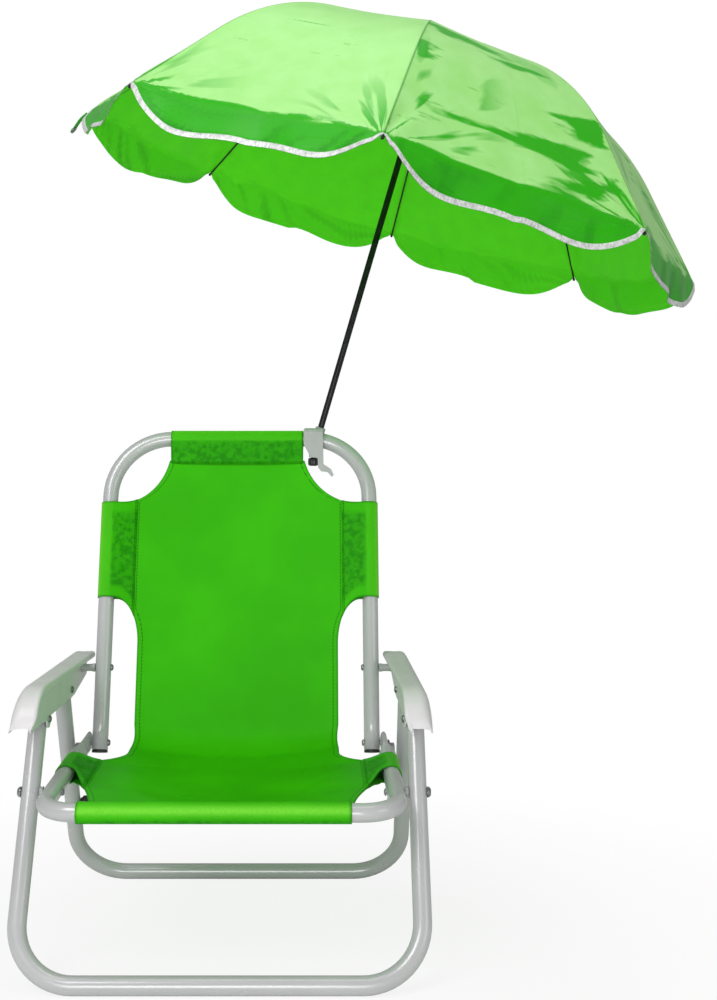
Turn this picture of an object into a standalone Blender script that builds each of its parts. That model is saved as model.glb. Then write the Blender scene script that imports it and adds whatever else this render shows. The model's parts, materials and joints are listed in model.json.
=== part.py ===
"""Child's folding armchair with a clamp-on umbrella.

The floor is Z = 0 and the sitter faces -Y. The origin is under the middle of
the front floor bar. Side-view places are (depth along +Y, height above the
line through the floor bars' centres).
"""

from math import asin, atan2, copysign, cos, hypot, pi, radians, sin, sqrt, tan

import bmesh
import bpy
from mathutils import Euler, Matrix, Vector

# Steel tube, shared by the four frames
TUBE_RADIUS = 0.0095
TUBE_WALL = 0.0010
TUBE_SIDES = 12
BEND_STEPS = 5
FACET_TILT = pi / TUBE_SIDES
PIN_SIDES = 10
TOUCH_GAP = 0.0003
CUT_OVERRUN = 0.004
MERGE_DISTANCE = 0.00001
SHARP_ANGLE = radians(35)
PIVOT_DISPLAY_SIZE = 0.02
SIDES = ((-1, "l"), (1, "r"))

# Half widths, from the chair's middle to the centre of each frame's tubes
SEAT_HALF_WIDTH = 0.179
SEAT_TO_LEG = 0.023
SEAT_TO_BACK = 0.0158
LEG_HALF_WIDTH = SEAT_HALF_WIDTH + SEAT_TO_LEG
BACK_HALF_WIDTH = SEAT_HALF_WIDTH - SEAT_TO_BACK

# Front and rear leg loops
LEG_BEND_RADIUS = 0.060
LEG_TOP_OVERHANG = 0.012
FRONT_LEAN = radians(28.14)
FRONT_BAR_TO_SEAT_PIVOT = 0.18975
FRONT_BAR_TO_ARM_PIVOT = 0.26866
FLOOR_BAR_SPACING = 0.371
REAR_LEAN = radians(25.09)
REAR_BAR_TO_ARM_PIVOT = 0.27351

# Back frame
BACK_FOOT_DEPTH = 0.2898
BACK_FOOT_HEIGHT = 0.170
BACK_RECLINE = radians(15.5)
BACK_LENGTH = 0.3902
BACK_BEND_RADIUS = 0.076
BACK_FOOT_TO_SEAT_PIVOT = 0.0083
BACK_FOOT_TO_ARM_PIVOT = 0.0985

# Seat frame
SEAT_BEND_RADIUS = 0.038
SEAT_FRONT_OVERHANG = 0.0706
SEAT_REAR_OVERHANG = 0.009
SEAT_FLAT_LENGTH = 0.046
SEAT_FLAT_BLEND = 0.014
SEAT_FLAT_THICKNESS = 0.009
SEAT_FLAT_SHIFT = 0.0015
SEAT_FLAT_SPREAD_SHARE = 1.2

# Pins and bolts
BOLT_RADIUS = 0.0025
BOLT_HOLE_CLEARANCE = 0.0003
BOLT_HEAD_RADIUS = 0.0040
BOLT_HEAD_HEIGHT = 0.0024
SEAT_BOLT_HEAD_RADIUS = 0.0057
SEAT_BOLT_HEAD_HEIGHT = 0.0040
SPACER_RADIUS = 0.0060
BACK_SPACER_RADIUS = 0.0050
HEAD_CROWN_SHARE = 0.65
HEAD_EDGE_SHARE = 0.5
PLUG_FLANGE = 0.0030
PLUG_STEM_RADIUS = 0.0078
PLUG_STEM_LENGTH = 0.0045

# Armrest channel, right-hand side, mirrored for the left
ARM_TOP_HEIGHT = 0.280
ARM_FRONT_DEPTH = 0.038
ARM_CREST_DEPTH = 0.088
ARM_REAR_DEPTH = 0.355
ARM_NOSE_HEIGHT = 0.243
ARM_WALL = 0.0016
ARM_WALL_SIDE = -1.0
ARM_HALF_WIDTH = 0.0116
ARM_INNER_FACE = LEG_HALF_WIDTH - ARM_HALF_WIDTH
ARM_OUTER_FACE = LEG_HALF_WIDTH + ARM_HALF_WIDTH
ARM_FRONT_LIP = 0.0054
ARM_REAR_LIP = 0.0109
ARM_TOP_INNER_FRONT = ARM_INNER_FACE - ARM_FRONT_LIP
ARM_TOP_INNER_REAR = ARM_INNER_FACE - ARM_REAR_LIP
ARM_FULL_DEPTH = 0.020
# Section points: from the top's inner edge or from the outer face, and below the top
ARM_SECTION = (
    (0.0, None, 0.0080),
    (0.0015, None, 0.0070),
    (0.0, None, 0.0035),
    (0.0025, None, 0.0),
    (None, 0.0210, 0.0010),
    (None, 0.0126, 0.0),
    (None, 0.0066, 0.0030),
    (None, 0.0025, 0.0100),
    (None, 0.0, 0.0170),
)
ARM_LOWER_EDGE = 0.239
ARM_REAR_LOWER_EDGE = 0.2525
ARM_RISE_START_DEPTH = 0.272
ARM_LOBE_RADIUS = 0.0095
ARM_DROOP_STEPS = 6
ARM_LOBE_STEPS = 4

# Seat link on each side: tab under the seat rail, strap, boss on the rear leg
TAB_ALONG_SEAT = 0.176
TAB_DROP = 0.030
TAB_TOP_DROP = -0.0050
TAB_HALF_WIDTH = 0.0085
TAB_END_RADIUS = 0.0055
RAIL_TO_TAB = 0.0033
TAB_INNER_FACE = SEAT_HALF_WIDTH + RAIL_TO_TAB
TAB_THICKNESS = 0.0063
RAIL_TO_LINK = 0.0099
LINK_INNER_FACE = SEAT_HALF_WIDTH + RAIL_TO_LINK
LINK_THICKNESS = 0.0015
LINK_HALF_WIDTH = 0.0050
LINK_TO_ARM_PIVOT = 0.112
LINK_BOSS_RADIUS = 0.0050
LINK_PIN_RADIUS = 0.0022
LINK_HEAD_RADIUS = 0.0036
LINK_HEAD_HEIGHT = 0.0012

# Rubber bumper on the inside of each rear leg
BUMPER_TO_ARM_PIVOT = 0.1653
BUMPER_RADIUS = 0.0085
BUMPER_THICKNESS = 0.0055
BUMPER_WASHER_THICKNESS = 0.0026
BUMPER_WASHER_STEP = 0.0020
BUMPER_ROUND = 0.0012

# Sling
CLOTH_THICKNESS = 0.0016
SLEEVE_GAP = 0.0003
SLEEVE_OVERRUN = 0.0005
SLEEVE_THICKNESS = 0.0012
SLEEVE_LEFT_INSET = 0.0754
SLEEVE_RIGHT_INSET = 0.0837
BACK_SLEEVE_LEFT = SLEEVE_LEFT_INSET - BACK_HALF_WIDTH
BACK_SLEEVE_RIGHT = BACK_HALF_WIDTH - SLEEVE_RIGHT_INSET
WING_END_TO_TOP = 0.0852
WING_START_TO_TOP = 0.2052
TAPER_START_TO_TOP = 0.2622
BACK_WING_START = BACK_LENGTH - WING_START_TO_TOP
BACK_WING_END = BACK_LENGTH - WING_END_TO_TOP
BACK_TAPER_START = BACK_LENGTH - TAPER_START_TO_TOP
WAIST_INSET = 0.0402
WAIST_HALF_WIDTH = BACK_HALF_WIDTH - WAIST_INSET
SLING_HINGE_GAP = 0.010
BACK_SAG = 0.010
SEAT_SAG = 0.012
SEAT_SLEEVE_INSET = 0.041
SEAT_NOTCH_INSET = 0.048
SEAT_SLEEVE_HALF_WIDTH = SEAT_HALF_WIDTH - SEAT_SLEEVE_INSET
SEAT_NOTCH_HALF_WIDTH = SEAT_HALF_WIDTH - SEAT_NOTCH_INSET
SEAT_WING_START = 0.131
SEAT_WING_END = 0.191
SEAT_TAPER_END = 0.226
SEAT_NOTCH_LENGTH = 0.020
SAG_FADE = 0.110
NOTCH_STEPS = 4
WAIST_SHARES = (0.0, 0.34, 0.67)
CLOTH_COLUMNS = 8

# Clamp on the back frame's top tube
CLAMP_INSET = 0.0705
CLAMP_CENTRE = BACK_HALF_WIDTH - CLAMP_INSET
CLAMP_TUBE_DROP = 0.0011
CLAMP_BORE_CLEARANCE = 0.0014
CLAMP_WALL = 0.0034
CLAMP_TOP_THICKNESS = 0.0040
CLAMP_LUG_BOTTOM = 0.0012
CLAMP_FOOT_TOP = -0.0180
CLAMP_FOOT_THICKNESS = 0.0040
CLAMP_FOOT_REACH = 0.0075
CLAMP_TAIL_BOTTOM = -0.0480
CLAMP_CROWN_RADIUS = 0.0050
CLAMP_CROWN_STEPS = 3
CLAMP_BORE_STEPS = 8
CLAMP_PLATE_WIDTH = 0.0800
# Front outline round the tube's centre: across, and above
CLAMP_FRONT_OUTLINE = (
    (0.0122, 0.0129),
    (0.0102, 0.0155),
    (-0.0102, 0.0155),
    (-0.0122, 0.0129),
    (-0.0122, -0.0060),
    (-0.0056, -0.0180),
    (-0.0056, -0.0220),
    (0.0055, -0.0230),
    (0.0062, -0.0350),
    (0.0100, -0.0400),
    (0.0180, -0.0410),
    (0.0235, -0.0470),
    (0.0260, -0.0450),
    (0.0225, -0.0370),
    (0.0130, -0.0310),
    (0.0128, -0.0060),
)
SCREW_RADIUS = 0.0025
SCREW_HOLE_CLEARANCE = 0.0004
SCREW_TIP = -0.0155
KNOB_RADIUS = 0.0058
KNOB_TOP = -0.0226
KNOB_HEIGHT = 0.0105
KNOB_LOBES = 6
KNOB_LOBE_RADIUS = 0.0008
KNOB_STEPS_PER_LOBE = 4
PAD_RADIUS = 0.0048
PAD_TOP = -0.0100
PAD_BOTTOM = -0.0165
PAD_BORE_DEPTH = 0.0030
PAD_ROUND = 0.0008

# Mast
MAST_LEAN_SIDE = radians(16.41)
MAST_LEAN_FRONT = radians(5.135)
CLAMP_TO_MAST = 0.0093
MAST_BASE_X = CLAMP_CENTRE + CLAMP_TO_MAST
MAST_BASE_BEHIND_TUBE = 0.0215
MAST_BASE_ABOVE_TUBE = 0.0140
MAST_RADIUS = 0.0040
MAST_WALL = 0.0006
MAST_SIDES = 12
SOCKET_RADIUS = 0.0065
SOCKET_BOTTOM = -0.0240
SOCKET_TOP = 0.0020
SOCKET_FLOOR = 0.0030
TILT_PIN_RADIUS = 0.0025
TILT_PIN_DROP = 0.0100
TILT_PIN_LENGTH = 0.0112
TILT_PIN_SINK = 0.0012
SLIDING_CLEARANCE = 0.0003

# Umbrella, measured from the crown pivots: outward, and down the mast
CROWN_HEIGHT = 0.514
CROWN_PIVOT_RADIUS = 0.0070
CROWN_RADIUS = 0.0060
CROWN_TOP = 0.0014
CROWN_BOTTOM = -0.0060
RIB_COUNT = 8
RIB_TURN = radians(-2.7)
RIB_RADIUS = 0.0011
RIB_REACH = 0.402
RIB_DROP = 0.209
RIB_START_SLOPE = radians(10.0)
RIB_END_SLOPE = radians(47.0)
RIB_BEND_RADIUS = 0.280
RIB_START = 0.0010
RIB_BEND_STEPS = 6
ROD_SIDES = 6
RIB_TIP_RADIUS = 0.0020
RIB_TIP_LENGTH = 0.0042
RIB_TIP_SHOULDER = 0.0006
RIB_TIP_END_SHARE = 0.85
STRETCHER_ON_RIB = 0.180
STRETCHER_RADIUS = 0.0009
STRETCHER_OFFSET = 0.0024
STRETCHER_DROP = 0.0016
STRETCHER_START = 0.0010
STRETCHER_EYE_RADIUS = 0.0016
STRETCHER_EYE_THICKNESS = 0.0022
RUNNER_DROP = 0.115
RUNNER_PIVOT_RADIUS = 0.0088
RUNNER_FLANGE_RADIUS = 0.0078
RUNNER_BODY_RADIUS = 0.0064
RUNNER_FLANGE_HALF_HEIGHT = 0.0030
RUNNER_LENGTH = 0.030
CAP_RADIUS = 0.0050
CAP_HEIGHT = 0.0042
CAP_STEM_RADIUS = 0.0031
CAP_STEM_LENGTH = 0.0080

# Canopy
CANOPY_THICKNESS = 0.0008
CANOPY_WALL_SIDE = 1.0
CANOPY_CLEARANCE = 0.0008
CANOPY_START = -0.0036
CANOPY_EDGE_SETBACK = 0.0075
CANOPY_COLUMNS_PER_GORE = 4
VALANCE_DEPTH = 0.042
VALANCE_ROWS = 3
VALANCE_FLARE_SHARE = 0.30
VALANCE_CORNER_DEPTH = 0.0024
SCALLOP_POWER = 2.2
GORE_SAG = 0.004

# Closure strap on the third rib's tip
STRAP_RIB = 3
STRAP_WIDTH = 0.009
STRAP_LENGTH = 0.032
STRAP_THICKNESS = 0.0012
STRAP_SLOPE = radians(62)
STRAP_CLEARANCE = 0.0016

# Colours from the photograph: base colour, roughness, metallic
FINISHES = {
    "painted_tube": ((0.50, 0.50, 0.52), 0.35, 0.6),
    "white_plastic": ((0.82, 0.82, 0.82), 0.45, 0.0),
    "grey_plastic": ((0.55, 0.56, 0.55), 0.45, 0.0),
    "black_plastic": ((0.02, 0.02, 0.02), 0.45, 0.0),
    "black_steel": ((0.02, 0.02, 0.02), 0.30, 0.5),
    "steel": ((0.60, 0.60, 0.62), 0.30, 1.0),
    "green_cloth": ((0.06, 0.55, 0.01), 0.80, 0.0),
    "pale_green_cloth": ((0.30, 0.78, 0.12), 0.75, 0.0),
}

# Places that follow from the sizes above
BAR_HEIGHT = TUBE_RADIUS * cos(pi / TUBE_SIDES)


def side_point(depth, height, across=0.0):
    """Return the world point for a side-view place and a distance across."""
    return Vector((across, depth, height + BAR_HEIGHT))


def along(start, angle, distance):
    """Return a side-view place at a distance and an angle above +Y."""
    return (start[0] + distance * cos(angle), start[1] + distance * sin(angle))


FRONT_BAR = (0.0, 0.0)
REAR_BAR = (FLOOR_BAR_SPACING, 0.0)
FRONT_LEG_ANGLE = pi / 2 - FRONT_LEAN
REAR_LEG_ANGLE = pi / 2 + REAR_LEAN
BACK_ANGLE = pi / 2 - BACK_RECLINE
ARM_FRONT_PIVOT = along(FRONT_BAR, FRONT_LEG_ANGLE, FRONT_BAR_TO_ARM_PIVOT)
SEAT_FRONT_PIVOT = along(FRONT_BAR, FRONT_LEG_ANGLE, FRONT_BAR_TO_SEAT_PIVOT)
ARM_REAR_PIVOT = along(REAR_BAR, REAR_LEG_ANGLE, REAR_BAR_TO_ARM_PIVOT)
BACK_FOOT = (BACK_FOOT_DEPTH, BACK_FOOT_HEIGHT)
BACK_TOP = along(BACK_FOOT, BACK_ANGLE, BACK_LENGTH)
SEAT_REAR_PIVOT = along(BACK_FOOT, BACK_ANGLE, BACK_FOOT_TO_SEAT_PIVOT)
ARM_BACK_PIVOT = along(BACK_FOOT, BACK_ANGLE, BACK_FOOT_TO_ARM_PIVOT)
SEAT_LENGTH = hypot(
    SEAT_REAR_PIVOT[0] - SEAT_FRONT_PIVOT[0], SEAT_REAR_PIVOT[1] - SEAT_FRONT_PIVOT[1]
)
SEAT_ANGLE = atan2(
    SEAT_REAR_PIVOT[1] - SEAT_FRONT_PIVOT[1], SEAT_REAR_PIVOT[0] - SEAT_FRONT_PIVOT[0]
)
SEAT_FRONT_BAR = along(SEAT_FRONT_PIVOT, SEAT_ANGLE, -SEAT_FRONT_OVERHANG)
TAB_FOOT = along(SEAT_FRONT_PIVOT, SEAT_ANGLE, TAB_ALONG_SEAT)
LINK_SEAT_PIVOT = along(TAB_FOOT, SEAT_ANGLE - pi / 2, TAB_DROP)
LINK_LEG_PIVOT = along(ARM_REAR_PIVOT, REAR_LEG_ANGLE, -LINK_TO_ARM_PIVOT)
BUMPER_PLACE = along(ARM_REAR_PIVOT, REAR_LEG_ANGLE, -BUMPER_TO_ARM_PIVOT)
CLAMP_TUBE = (BACK_TOP[0], BACK_TOP[1] - CLAMP_TUBE_DROP)
SEAT_RAIL_END = SEAT_FRONT_OVERHANG + SEAT_LENGTH + SEAT_REAR_OVERHANG
BOLT_HOLE_RADIUS = BOLT_RADIUS + BOLT_HOLE_CLEARANCE
FRONT_BAR_TILT = FRONT_LEAN - FACET_TILT
REAR_BAR_TILT = FACET_TILT - REAR_LEAN
SLEEVE_INNER_FLAT = TUBE_RADIUS + SLEEVE_GAP
SLEEVE_BORE = SLEEVE_INNER_FLAT / cos(pi / TUBE_SIDES)
SLEEVE_OUTER = (SLEEVE_INNER_FLAT + SLEEVE_THICKNESS) / cos(pi / TUBE_SIDES)
SLEEVE_MIDDLE = SLEEVE_INNER_FLAT + SLEEVE_THICKNESS / 2
BACK_ATTACH = BACK_HALF_WIDTH - SLEEVE_MIDDLE
SEAT_ATTACH = SEAT_HALF_WIDTH - SLEEVE_MIDDLE
BACK_PANEL_TOP = BACK_LENGTH - SLEEVE_MIDDLE
RIB_BEND = RIB_END_SLOPE - RIB_START_SLOPE
RIB_BEND_OUTWARD = RIB_BEND_RADIUS * (sin(RIB_END_SLOPE) - sin(RIB_START_SLOPE))
RIB_BEND_DROP = RIB_BEND_RADIUS * (cos(RIB_START_SLOPE) - cos(RIB_END_SLOPE))
RIB_STRAIGHT_OUTWARD = RIB_REACH - CROWN_PIVOT_RADIUS - RIB_BEND_OUTWARD
RIB_STRAIGHT_DROP = RIB_DROP - RIB_BEND_DROP
RIB_INNER_RISE = RIB_STRAIGHT_OUTWARD * sin(RIB_END_SLOPE) - RIB_STRAIGHT_DROP * cos(RIB_END_SLOPE)
RIB_OUTER_RISE = RIB_STRAIGHT_DROP * cos(RIB_START_SLOPE) - RIB_STRAIGHT_OUTWARD * sin(RIB_START_SLOPE)
RIB_BEND_START = RIB_INNER_RISE / sin(RIB_BEND)
RIB_BEND_END = RIB_BEND_START + RIB_BEND_RADIUS * RIB_BEND
RIB_LENGTH = RIB_BEND_END + RIB_OUTER_RISE / sin(RIB_BEND)

# Axes of a flat outline's plane: the side view, and the front view
SIDE_VIEW = Matrix(((0, 0, 1, 0), (1, 0, 0, 0), (0, 1, 0, 0), (0, 0, 0, 1)))
FRONT_VIEW = Matrix(((1, 0, 0, 0), (0, 0, -1, 0), (0, 1, 0, 0), (0, 0, 0, 1)))


def clear_scene():
    """Remove every object so that the script can run again."""
    for old in list(bpy.data.objects):
        bpy.data.objects.remove(old, do_unlink=True)


def new_collection(name):
    """Create a collection in the scene."""
    collection = bpy.data.collections.new(name)
    bpy.context.scene.collection.children.link(collection)
    return collection


clear_scene()
PARTS = new_collection("umbrella_chair")
CUTTERS = new_collection("cutters")


# Building helpers


def pivot(name, point, rotation=None, parent=None):
    """Add an empty on a joint's axis, carried by another empty."""
    empty = bpy.data.objects.new(name, None)
    empty.empty_display_size = PIVOT_DISPLAY_SIZE
    PARTS.objects.link(empty)
    turned_by = rotation.to_4x4() if rotation else Matrix.Identity(4)
    empty.matrix_basis = Matrix.Translation(point) @ turned_by
    if parent:
        carry(empty, parent)
    bpy.context.view_layer.update()
    return empty


def carry(obj, frame):
    """Hang an object on a frame without moving it."""
    obj.parent = frame
    obj.matrix_parent_inverse = frame.matrix_world.inverted()


def add_part(name, mesh, finish, frame=None, matrix=None):
    """Add a named piece with its own material."""
    obj = bpy.data.objects.new(name, mesh)
    PARTS.objects.link(obj)
    if matrix:
        obj.matrix_basis = matrix
    if frame:
        carry(obj, frame)
    colour, roughness, metallic = FINISHES[finish]
    material = bpy.data.materials.new(name + "_finish")
    material.use_nodes = True
    shader = material.node_tree.nodes["Principled BSDF"]
    shader.inputs["Base Color"].default_value = (*colour, 1.0)
    shader.inputs["Roughness"].default_value = roughness
    shader.inputs["Metallic"].default_value = metallic
    if not mesh.materials:
        mesh.materials.append(None)
    obj.material_slots[0].link = "OBJECT"
    obj.material_slots[0].material = material
    return obj


def add_guide(name, mesh, matrix=None):
    """Add a shape that only cuts or joins a piece."""
    guide = bpy.data.objects.new(name, mesh)
    CUTTERS.objects.link(guide)
    if matrix:
        guide.matrix_basis = matrix
    guide.hide_render = True
    guide.display_type = "WIRE"
    return guide


def combine(obj, guide, operation):
    """Join, cut or limit a piece with a guide."""
    modifier = obj.modifiers.new(guide.name, "BOOLEAN")
    modifier.operation = operation
    modifier.object = guide
    modifier.solver = "EXACT"


def baked(obj):
    """Return the mesh of an object with its modifiers, and remove the object."""
    bpy.context.view_layer.update()
    graph = bpy.context.evaluated_depsgraph_get()
    mesh = bpy.data.meshes.new_from_object(obj.evaluated_get(graph))
    bpy.data.objects.remove(obj, do_unlink=True)
    return mesh


def smooth(mesh):
    """Shade a mesh smooth and keep its corners sharp."""
    mesh.shade_smooth()
    mesh.set_sharp_from_angle(angle=SHARP_ANGLE)
    return mesh


def finished(work, name):
    """Turn a bmesh into a smooth-shaded mesh."""
    mesh = bpy.data.meshes.new(name)
    work.to_mesh(mesh)
    work.free()
    return smooth(mesh)


def welded(mesh):
    """Weld a mesh's doubled points, such as those round a curve's caps."""
    work = bmesh.new()
    work.from_mesh(mesh)
    bmesh.ops.remove_doubles(work, verts=work.verts, dist=MERGE_DISTANCE)
    work.to_mesh(mesh)
    work.free()
    return smooth(mesh)


def rounded_path(corners, radius, steps):
    """Return a path through corners, with the inner corners as arcs."""
    corners = [Vector(corner) for corner in corners]
    path = [corners[0]]
    for before, corner, after in zip(corners, corners[1:], corners[2:]):
        incoming = (corner - before).normalized()
        outgoing = (after - corner).normalized()
        turn = incoming.angle(outgoing)
        inward = (outgoing - incoming * incoming.dot(outgoing)).normalized()
        start = corner - incoming * radius * tan(turn / 2)
        for step in range(steps + 1):
            angle = turn * step / steps
            rise = inward * radius * (1 - cos(angle))
            path.append(start + incoming * radius * sin(angle) + rise)
    path.append(corners[-1])
    return path


def bar_mesh(name, path, radius, sides, tilt=0.0, capped=True, swell=None):
    """Return a round bar or an open tube surface along a path."""
    curve = bpy.data.curves.new(name, "CURVE")
    curve.dimensions = "3D"
    curve.bevel_depth = radius
    curve.bevel_resolution = (sides - 4) // 2
    curve.use_fill_caps = capped
    spline = curve.splines.new("POLY")
    spline.points.add(len(path) - 1)
    for index, (point, spot) in enumerate(zip(spline.points, path)):
        point.co = (*spot, 1.0)
        point.tilt = tilt
        point.radius = swell[index] if swell else 1.0
    guide = bpy.data.objects.new(name, curve)
    CUTTERS.objects.link(guide)
    return welded(baked(guide))


def plate_mesh(name, outline, thickness, view):
    """Return a flat plate, centred on its plane, from an outline."""
    curve = bpy.data.curves.new(name, "CURVE")
    curve.dimensions = "2D"
    curve.fill_mode = "BOTH"
    curve.extrude = thickness / 2
    spline = curve.splines.new("POLY")
    spline.points.add(len(outline) - 1)
    for point, spot in zip(spline.points, outline):
        point.co = (spot[0], spot[1], 0.0, 1.0)
    spline.use_cyclic_u = True
    guide = bpy.data.objects.new(name, curve)
    CUTTERS.objects.link(guide)
    mesh = baked(guide)
    mesh.transform(view)
    return welded(mesh)


def arc(radius, start, end, steps, centre=(0.0, 0.0)):
    """Return the points of an arc."""
    turns = [start + (end - start) * step / steps for step in range(steps + 1)]
    return [(centre[0] + radius * cos(turn), centre[1] + radius * sin(turn)) for turn in turns]


def slot_outline(start, end, radius, steps=6):
    """Return the outline of a strap with round ends between two points."""
    angle = atan2(end[1] - start[1], end[0] - start[0])
    far_end = arc(radius, angle - pi / 2, angle + pi / 2, steps, end)
    near_end = arc(radius, angle + pi / 2, angle + 3 * pi / 2, steps, start)
    return far_end + near_end


def add_cylinder(work, start, end, radius, sides=PIN_SIDES):
    """Add a capped cylinder between two points to a bmesh."""
    axis = end - start
    spin = axis.to_track_quat("Z", "Y").to_matrix().to_4x4()
    bmesh.ops.create_cone(
        work,
        cap_ends=True,
        segments=sides,
        radius1=radius,
        radius2=radius,
        depth=axis.length,
        matrix=Matrix.Translation((start + end) / 2) @ spin,
    )


def sheet_mesh(name, columns, rows, locate):
    """Return a grid whose point at each column and row comes from a function."""
    work = bmesh.new()
    bmesh.ops.create_grid(work, x_segments=columns, y_segments=rows, size=1.0)
    for vert in work.verts:
        column = round((vert.co.x + 1) * columns / 2)
        row = round((vert.co.y + 1) * rows / 2)
        vert.co = locate(column, row)
    bmesh.ops.remove_doubles(work, verts=work.verts, dist=MERGE_DISTANCE)
    return finished(work, name)


def thicken(obj, thickness, offset):
    """Give a surface a wall."""
    solidify = obj.modifiers.new("wall", "SOLIDIFY")
    solidify.thickness = thickness
    solidify.offset = offset
    solidify.use_even_offset = True


def outline_mesh(name, outline, ring):
    """Return the edges of a profile given as (radius, height) points."""
    work = bmesh.new()
    verts = [work.verts.new((radius, 0.0, height)) for radius, height in outline]
    for start, end in zip(verts, verts[1:]):
        work.edges.new((start, end))
    if ring:
        work.edges.new((verts[-1], verts[0]))
    mesh = bpy.data.meshes.new(name)
    work.to_mesh(mesh)
    work.free()
    return mesh


def turn(obj, steps):
    """Turn an object's profile about its Z axis."""
    screw = obj.modifiers.new("turn", "SCREW")
    screw.steps = steps
    screw.render_steps = steps
    screw.use_merge_vertices = True
    screw.merge_threshold = MERGE_DISTANCE
    return obj


def facing(point, direction, spin=0.0):
    """Return a matrix that puts Z along a direction at a point."""
    rotation = Vector(direction).to_track_quat("Z", "Y").to_matrix().to_4x4()
    return Matrix.Translation(point) @ rotation @ Matrix.Rotation(spin, 4, "Z")


def add_pin(name, finish, frame, start, end, shank, head, tail):
    """Add a pin between two seats, with a (radius, height) head beyond each."""
    length = (end - start).length
    outline = [
        (0.0, head[1]),
        (head[0] * HEAD_CROWN_SHARE, head[1]),
        (head[0], head[1] * HEAD_EDGE_SHARE),
        (head[0], 0.0),
        (shank, 0.0),
        (shank, -length),
    ]
    if tail:
        outline += [
            (tail[0], -length),
            (tail[0], -length - tail[1] * HEAD_EDGE_SHARE),
            (tail[0] * HEAD_CROWN_SHARE, -length - tail[1]),
            (0.0, -length - tail[1]),
        ]
    else:
        outline.append((0.0, -length))
    obj = add_part(name, outline_mesh(name, outline, False), finish, frame, facing(start, start - end))
    return turn(obj, PIN_SIDES)


def ring_outline(inner, outer, top, bottom):
    """Return the profile of a plain ring."""
    return [(outer, top), (outer, bottom), (inner, bottom), (inner, top)]


def add_ring(name, finish, frame, start, end, inner, outer, steps=PIN_SIDES):
    """Add a spacer ring between two points."""
    outline = ring_outline(inner, outer, 0.0, -(end - start).length)
    obj = add_part(name, outline_mesh(name, outline, True), finish, frame, facing(start, start - end))
    return turn(obj, steps)


def drill(obj, name, holes):
    """Cut round holes, given as (start, end, radius), through a piece."""
    work = bmesh.new()
    for start, end, radius in holes:
        add_cylinder(work, start, end, radius)
    combine(obj, add_guide(name, finished(work, name)), "DIFFERENCE")


def cross_holes(pivots, half_width):
    """Return bolt holes along X through both sides of a frame."""
    holes = []
    for spot in pivots:
        for side in (-1, 1):
            start = side_point(*spot, side * (half_width - TUBE_RADIUS - CUT_OVERRUN))
            end = side_point(*spot, side * (half_width + TUBE_RADIUS + CUT_OVERRUN))
            holes.append((start, end, BOLT_HOLE_RADIUS))
    return holes


# Joint axes

FRONT_LEG_PIVOT = pivot("front_leg_pivot", side_point(*SEAT_FRONT_PIVOT))
BACK_PIVOT = pivot("back_pivot", side_point(*SEAT_REAR_PIVOT))
ARM_PIVOTS = {
    side: pivot(
        "armrest_pivot_" + letter,
        side_point(*ARM_FRONT_PIVOT, side * LEG_HALF_WIDTH),
        parent=FRONT_LEG_PIVOT,
    )
    for side, letter in SIDES
}
REAR_LEG_PIVOT = pivot("rear_leg_pivot", side_point(*ARM_REAR_PIVOT), parent=ARM_PIVOTS[-1])
LINK_PIVOTS = {
    side: pivot("link_pivot_" + letter, side_point(*LINK_SEAT_PIVOT, side * LINK_INNER_FACE))
    for side, letter in SIDES
}
CLAMP_CENTRE_POINT = side_point(*CLAMP_TUBE, CLAMP_CENTRE)
CLAMP_SCREW_PIVOT = pivot("clamp_screw_pivot", CLAMP_CENTRE_POINT, parent=BACK_PIVOT)
CLAMP_PAD_GUIDE = pivot("clamp_pad_guide", CLAMP_CENTRE_POINT, parent=BACK_PIVOT)
MAST_ROTATION = Euler((MAST_LEAN_FRONT, MAST_LEAN_SIDE, 0.0)).to_matrix()
MAST_BASE = side_point(
    BACK_TOP[0] + MAST_BASE_BEHIND_TUBE, BACK_TOP[1] + MAST_BASE_ABOVE_TUBE, MAST_BASE_X
)
MAST_FRAME = Matrix.Translation(MAST_BASE) @ MAST_ROTATION.to_4x4()
TILT_POINT = MAST_FRAME @ Vector((0.0, 0.0, -TILT_PIN_DROP))
MAST_PIVOT = pivot("mast_pivot", TILT_POINT, parent=BACK_PIVOT)
RUNNER_GUIDE = pivot(
    "runner_guide",
    MAST_FRAME @ Vector((0.0, 0.0, CROWN_HEIGHT - RUNNER_DROP)),
    MAST_ROTATION,
    MAST_PIVOT,
)


# Frames


def leg_loop(name, foot, angle, pivot_distance, frame, tilt, pivots):
    """Build one leg loop: a floor bar and two legs up to the armrests."""
    top = along(foot, angle, pivot_distance + LEG_TOP_OVERHANG)
    corners = [
        side_point(*top, -LEG_HALF_WIDTH),
        side_point(*foot, -LEG_HALF_WIDTH),
        side_point(*foot, LEG_HALF_WIDTH),
        side_point(*top, LEG_HALF_WIDTH),
    ]
    path = rounded_path(corners, LEG_BEND_RADIUS, BEND_STEPS)
    mesh = bar_mesh(name, path, TUBE_RADIUS, TUBE_SIDES, tilt, capped=False)
    leg = add_part(name, mesh, "painted_tube", frame)
    thicken(leg, TUBE_WALL, -1.0)
    drill(leg, name + "_holes", cross_holes(pivots, LEG_HALF_WIDTH))


def back_point(distance, across=0.0, behind=0.0):
    """Return a point of the back: up from its foot, across, and behind its plane."""
    spot = along(along(BACK_FOOT, BACK_ANGLE, distance), BACK_ANGLE - pi / 2, behind)
    return side_point(*spot, across)


def seat_point(distance, across=0.0, below=0.0):
    """Return a point of the seat: back from its front bar, across, and below."""
    spot = along(along(SEAT_FRONT_BAR, SEAT_ANGLE, distance), SEAT_ANGLE - pi / 2, below)
    return side_point(*spot, across)


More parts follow.
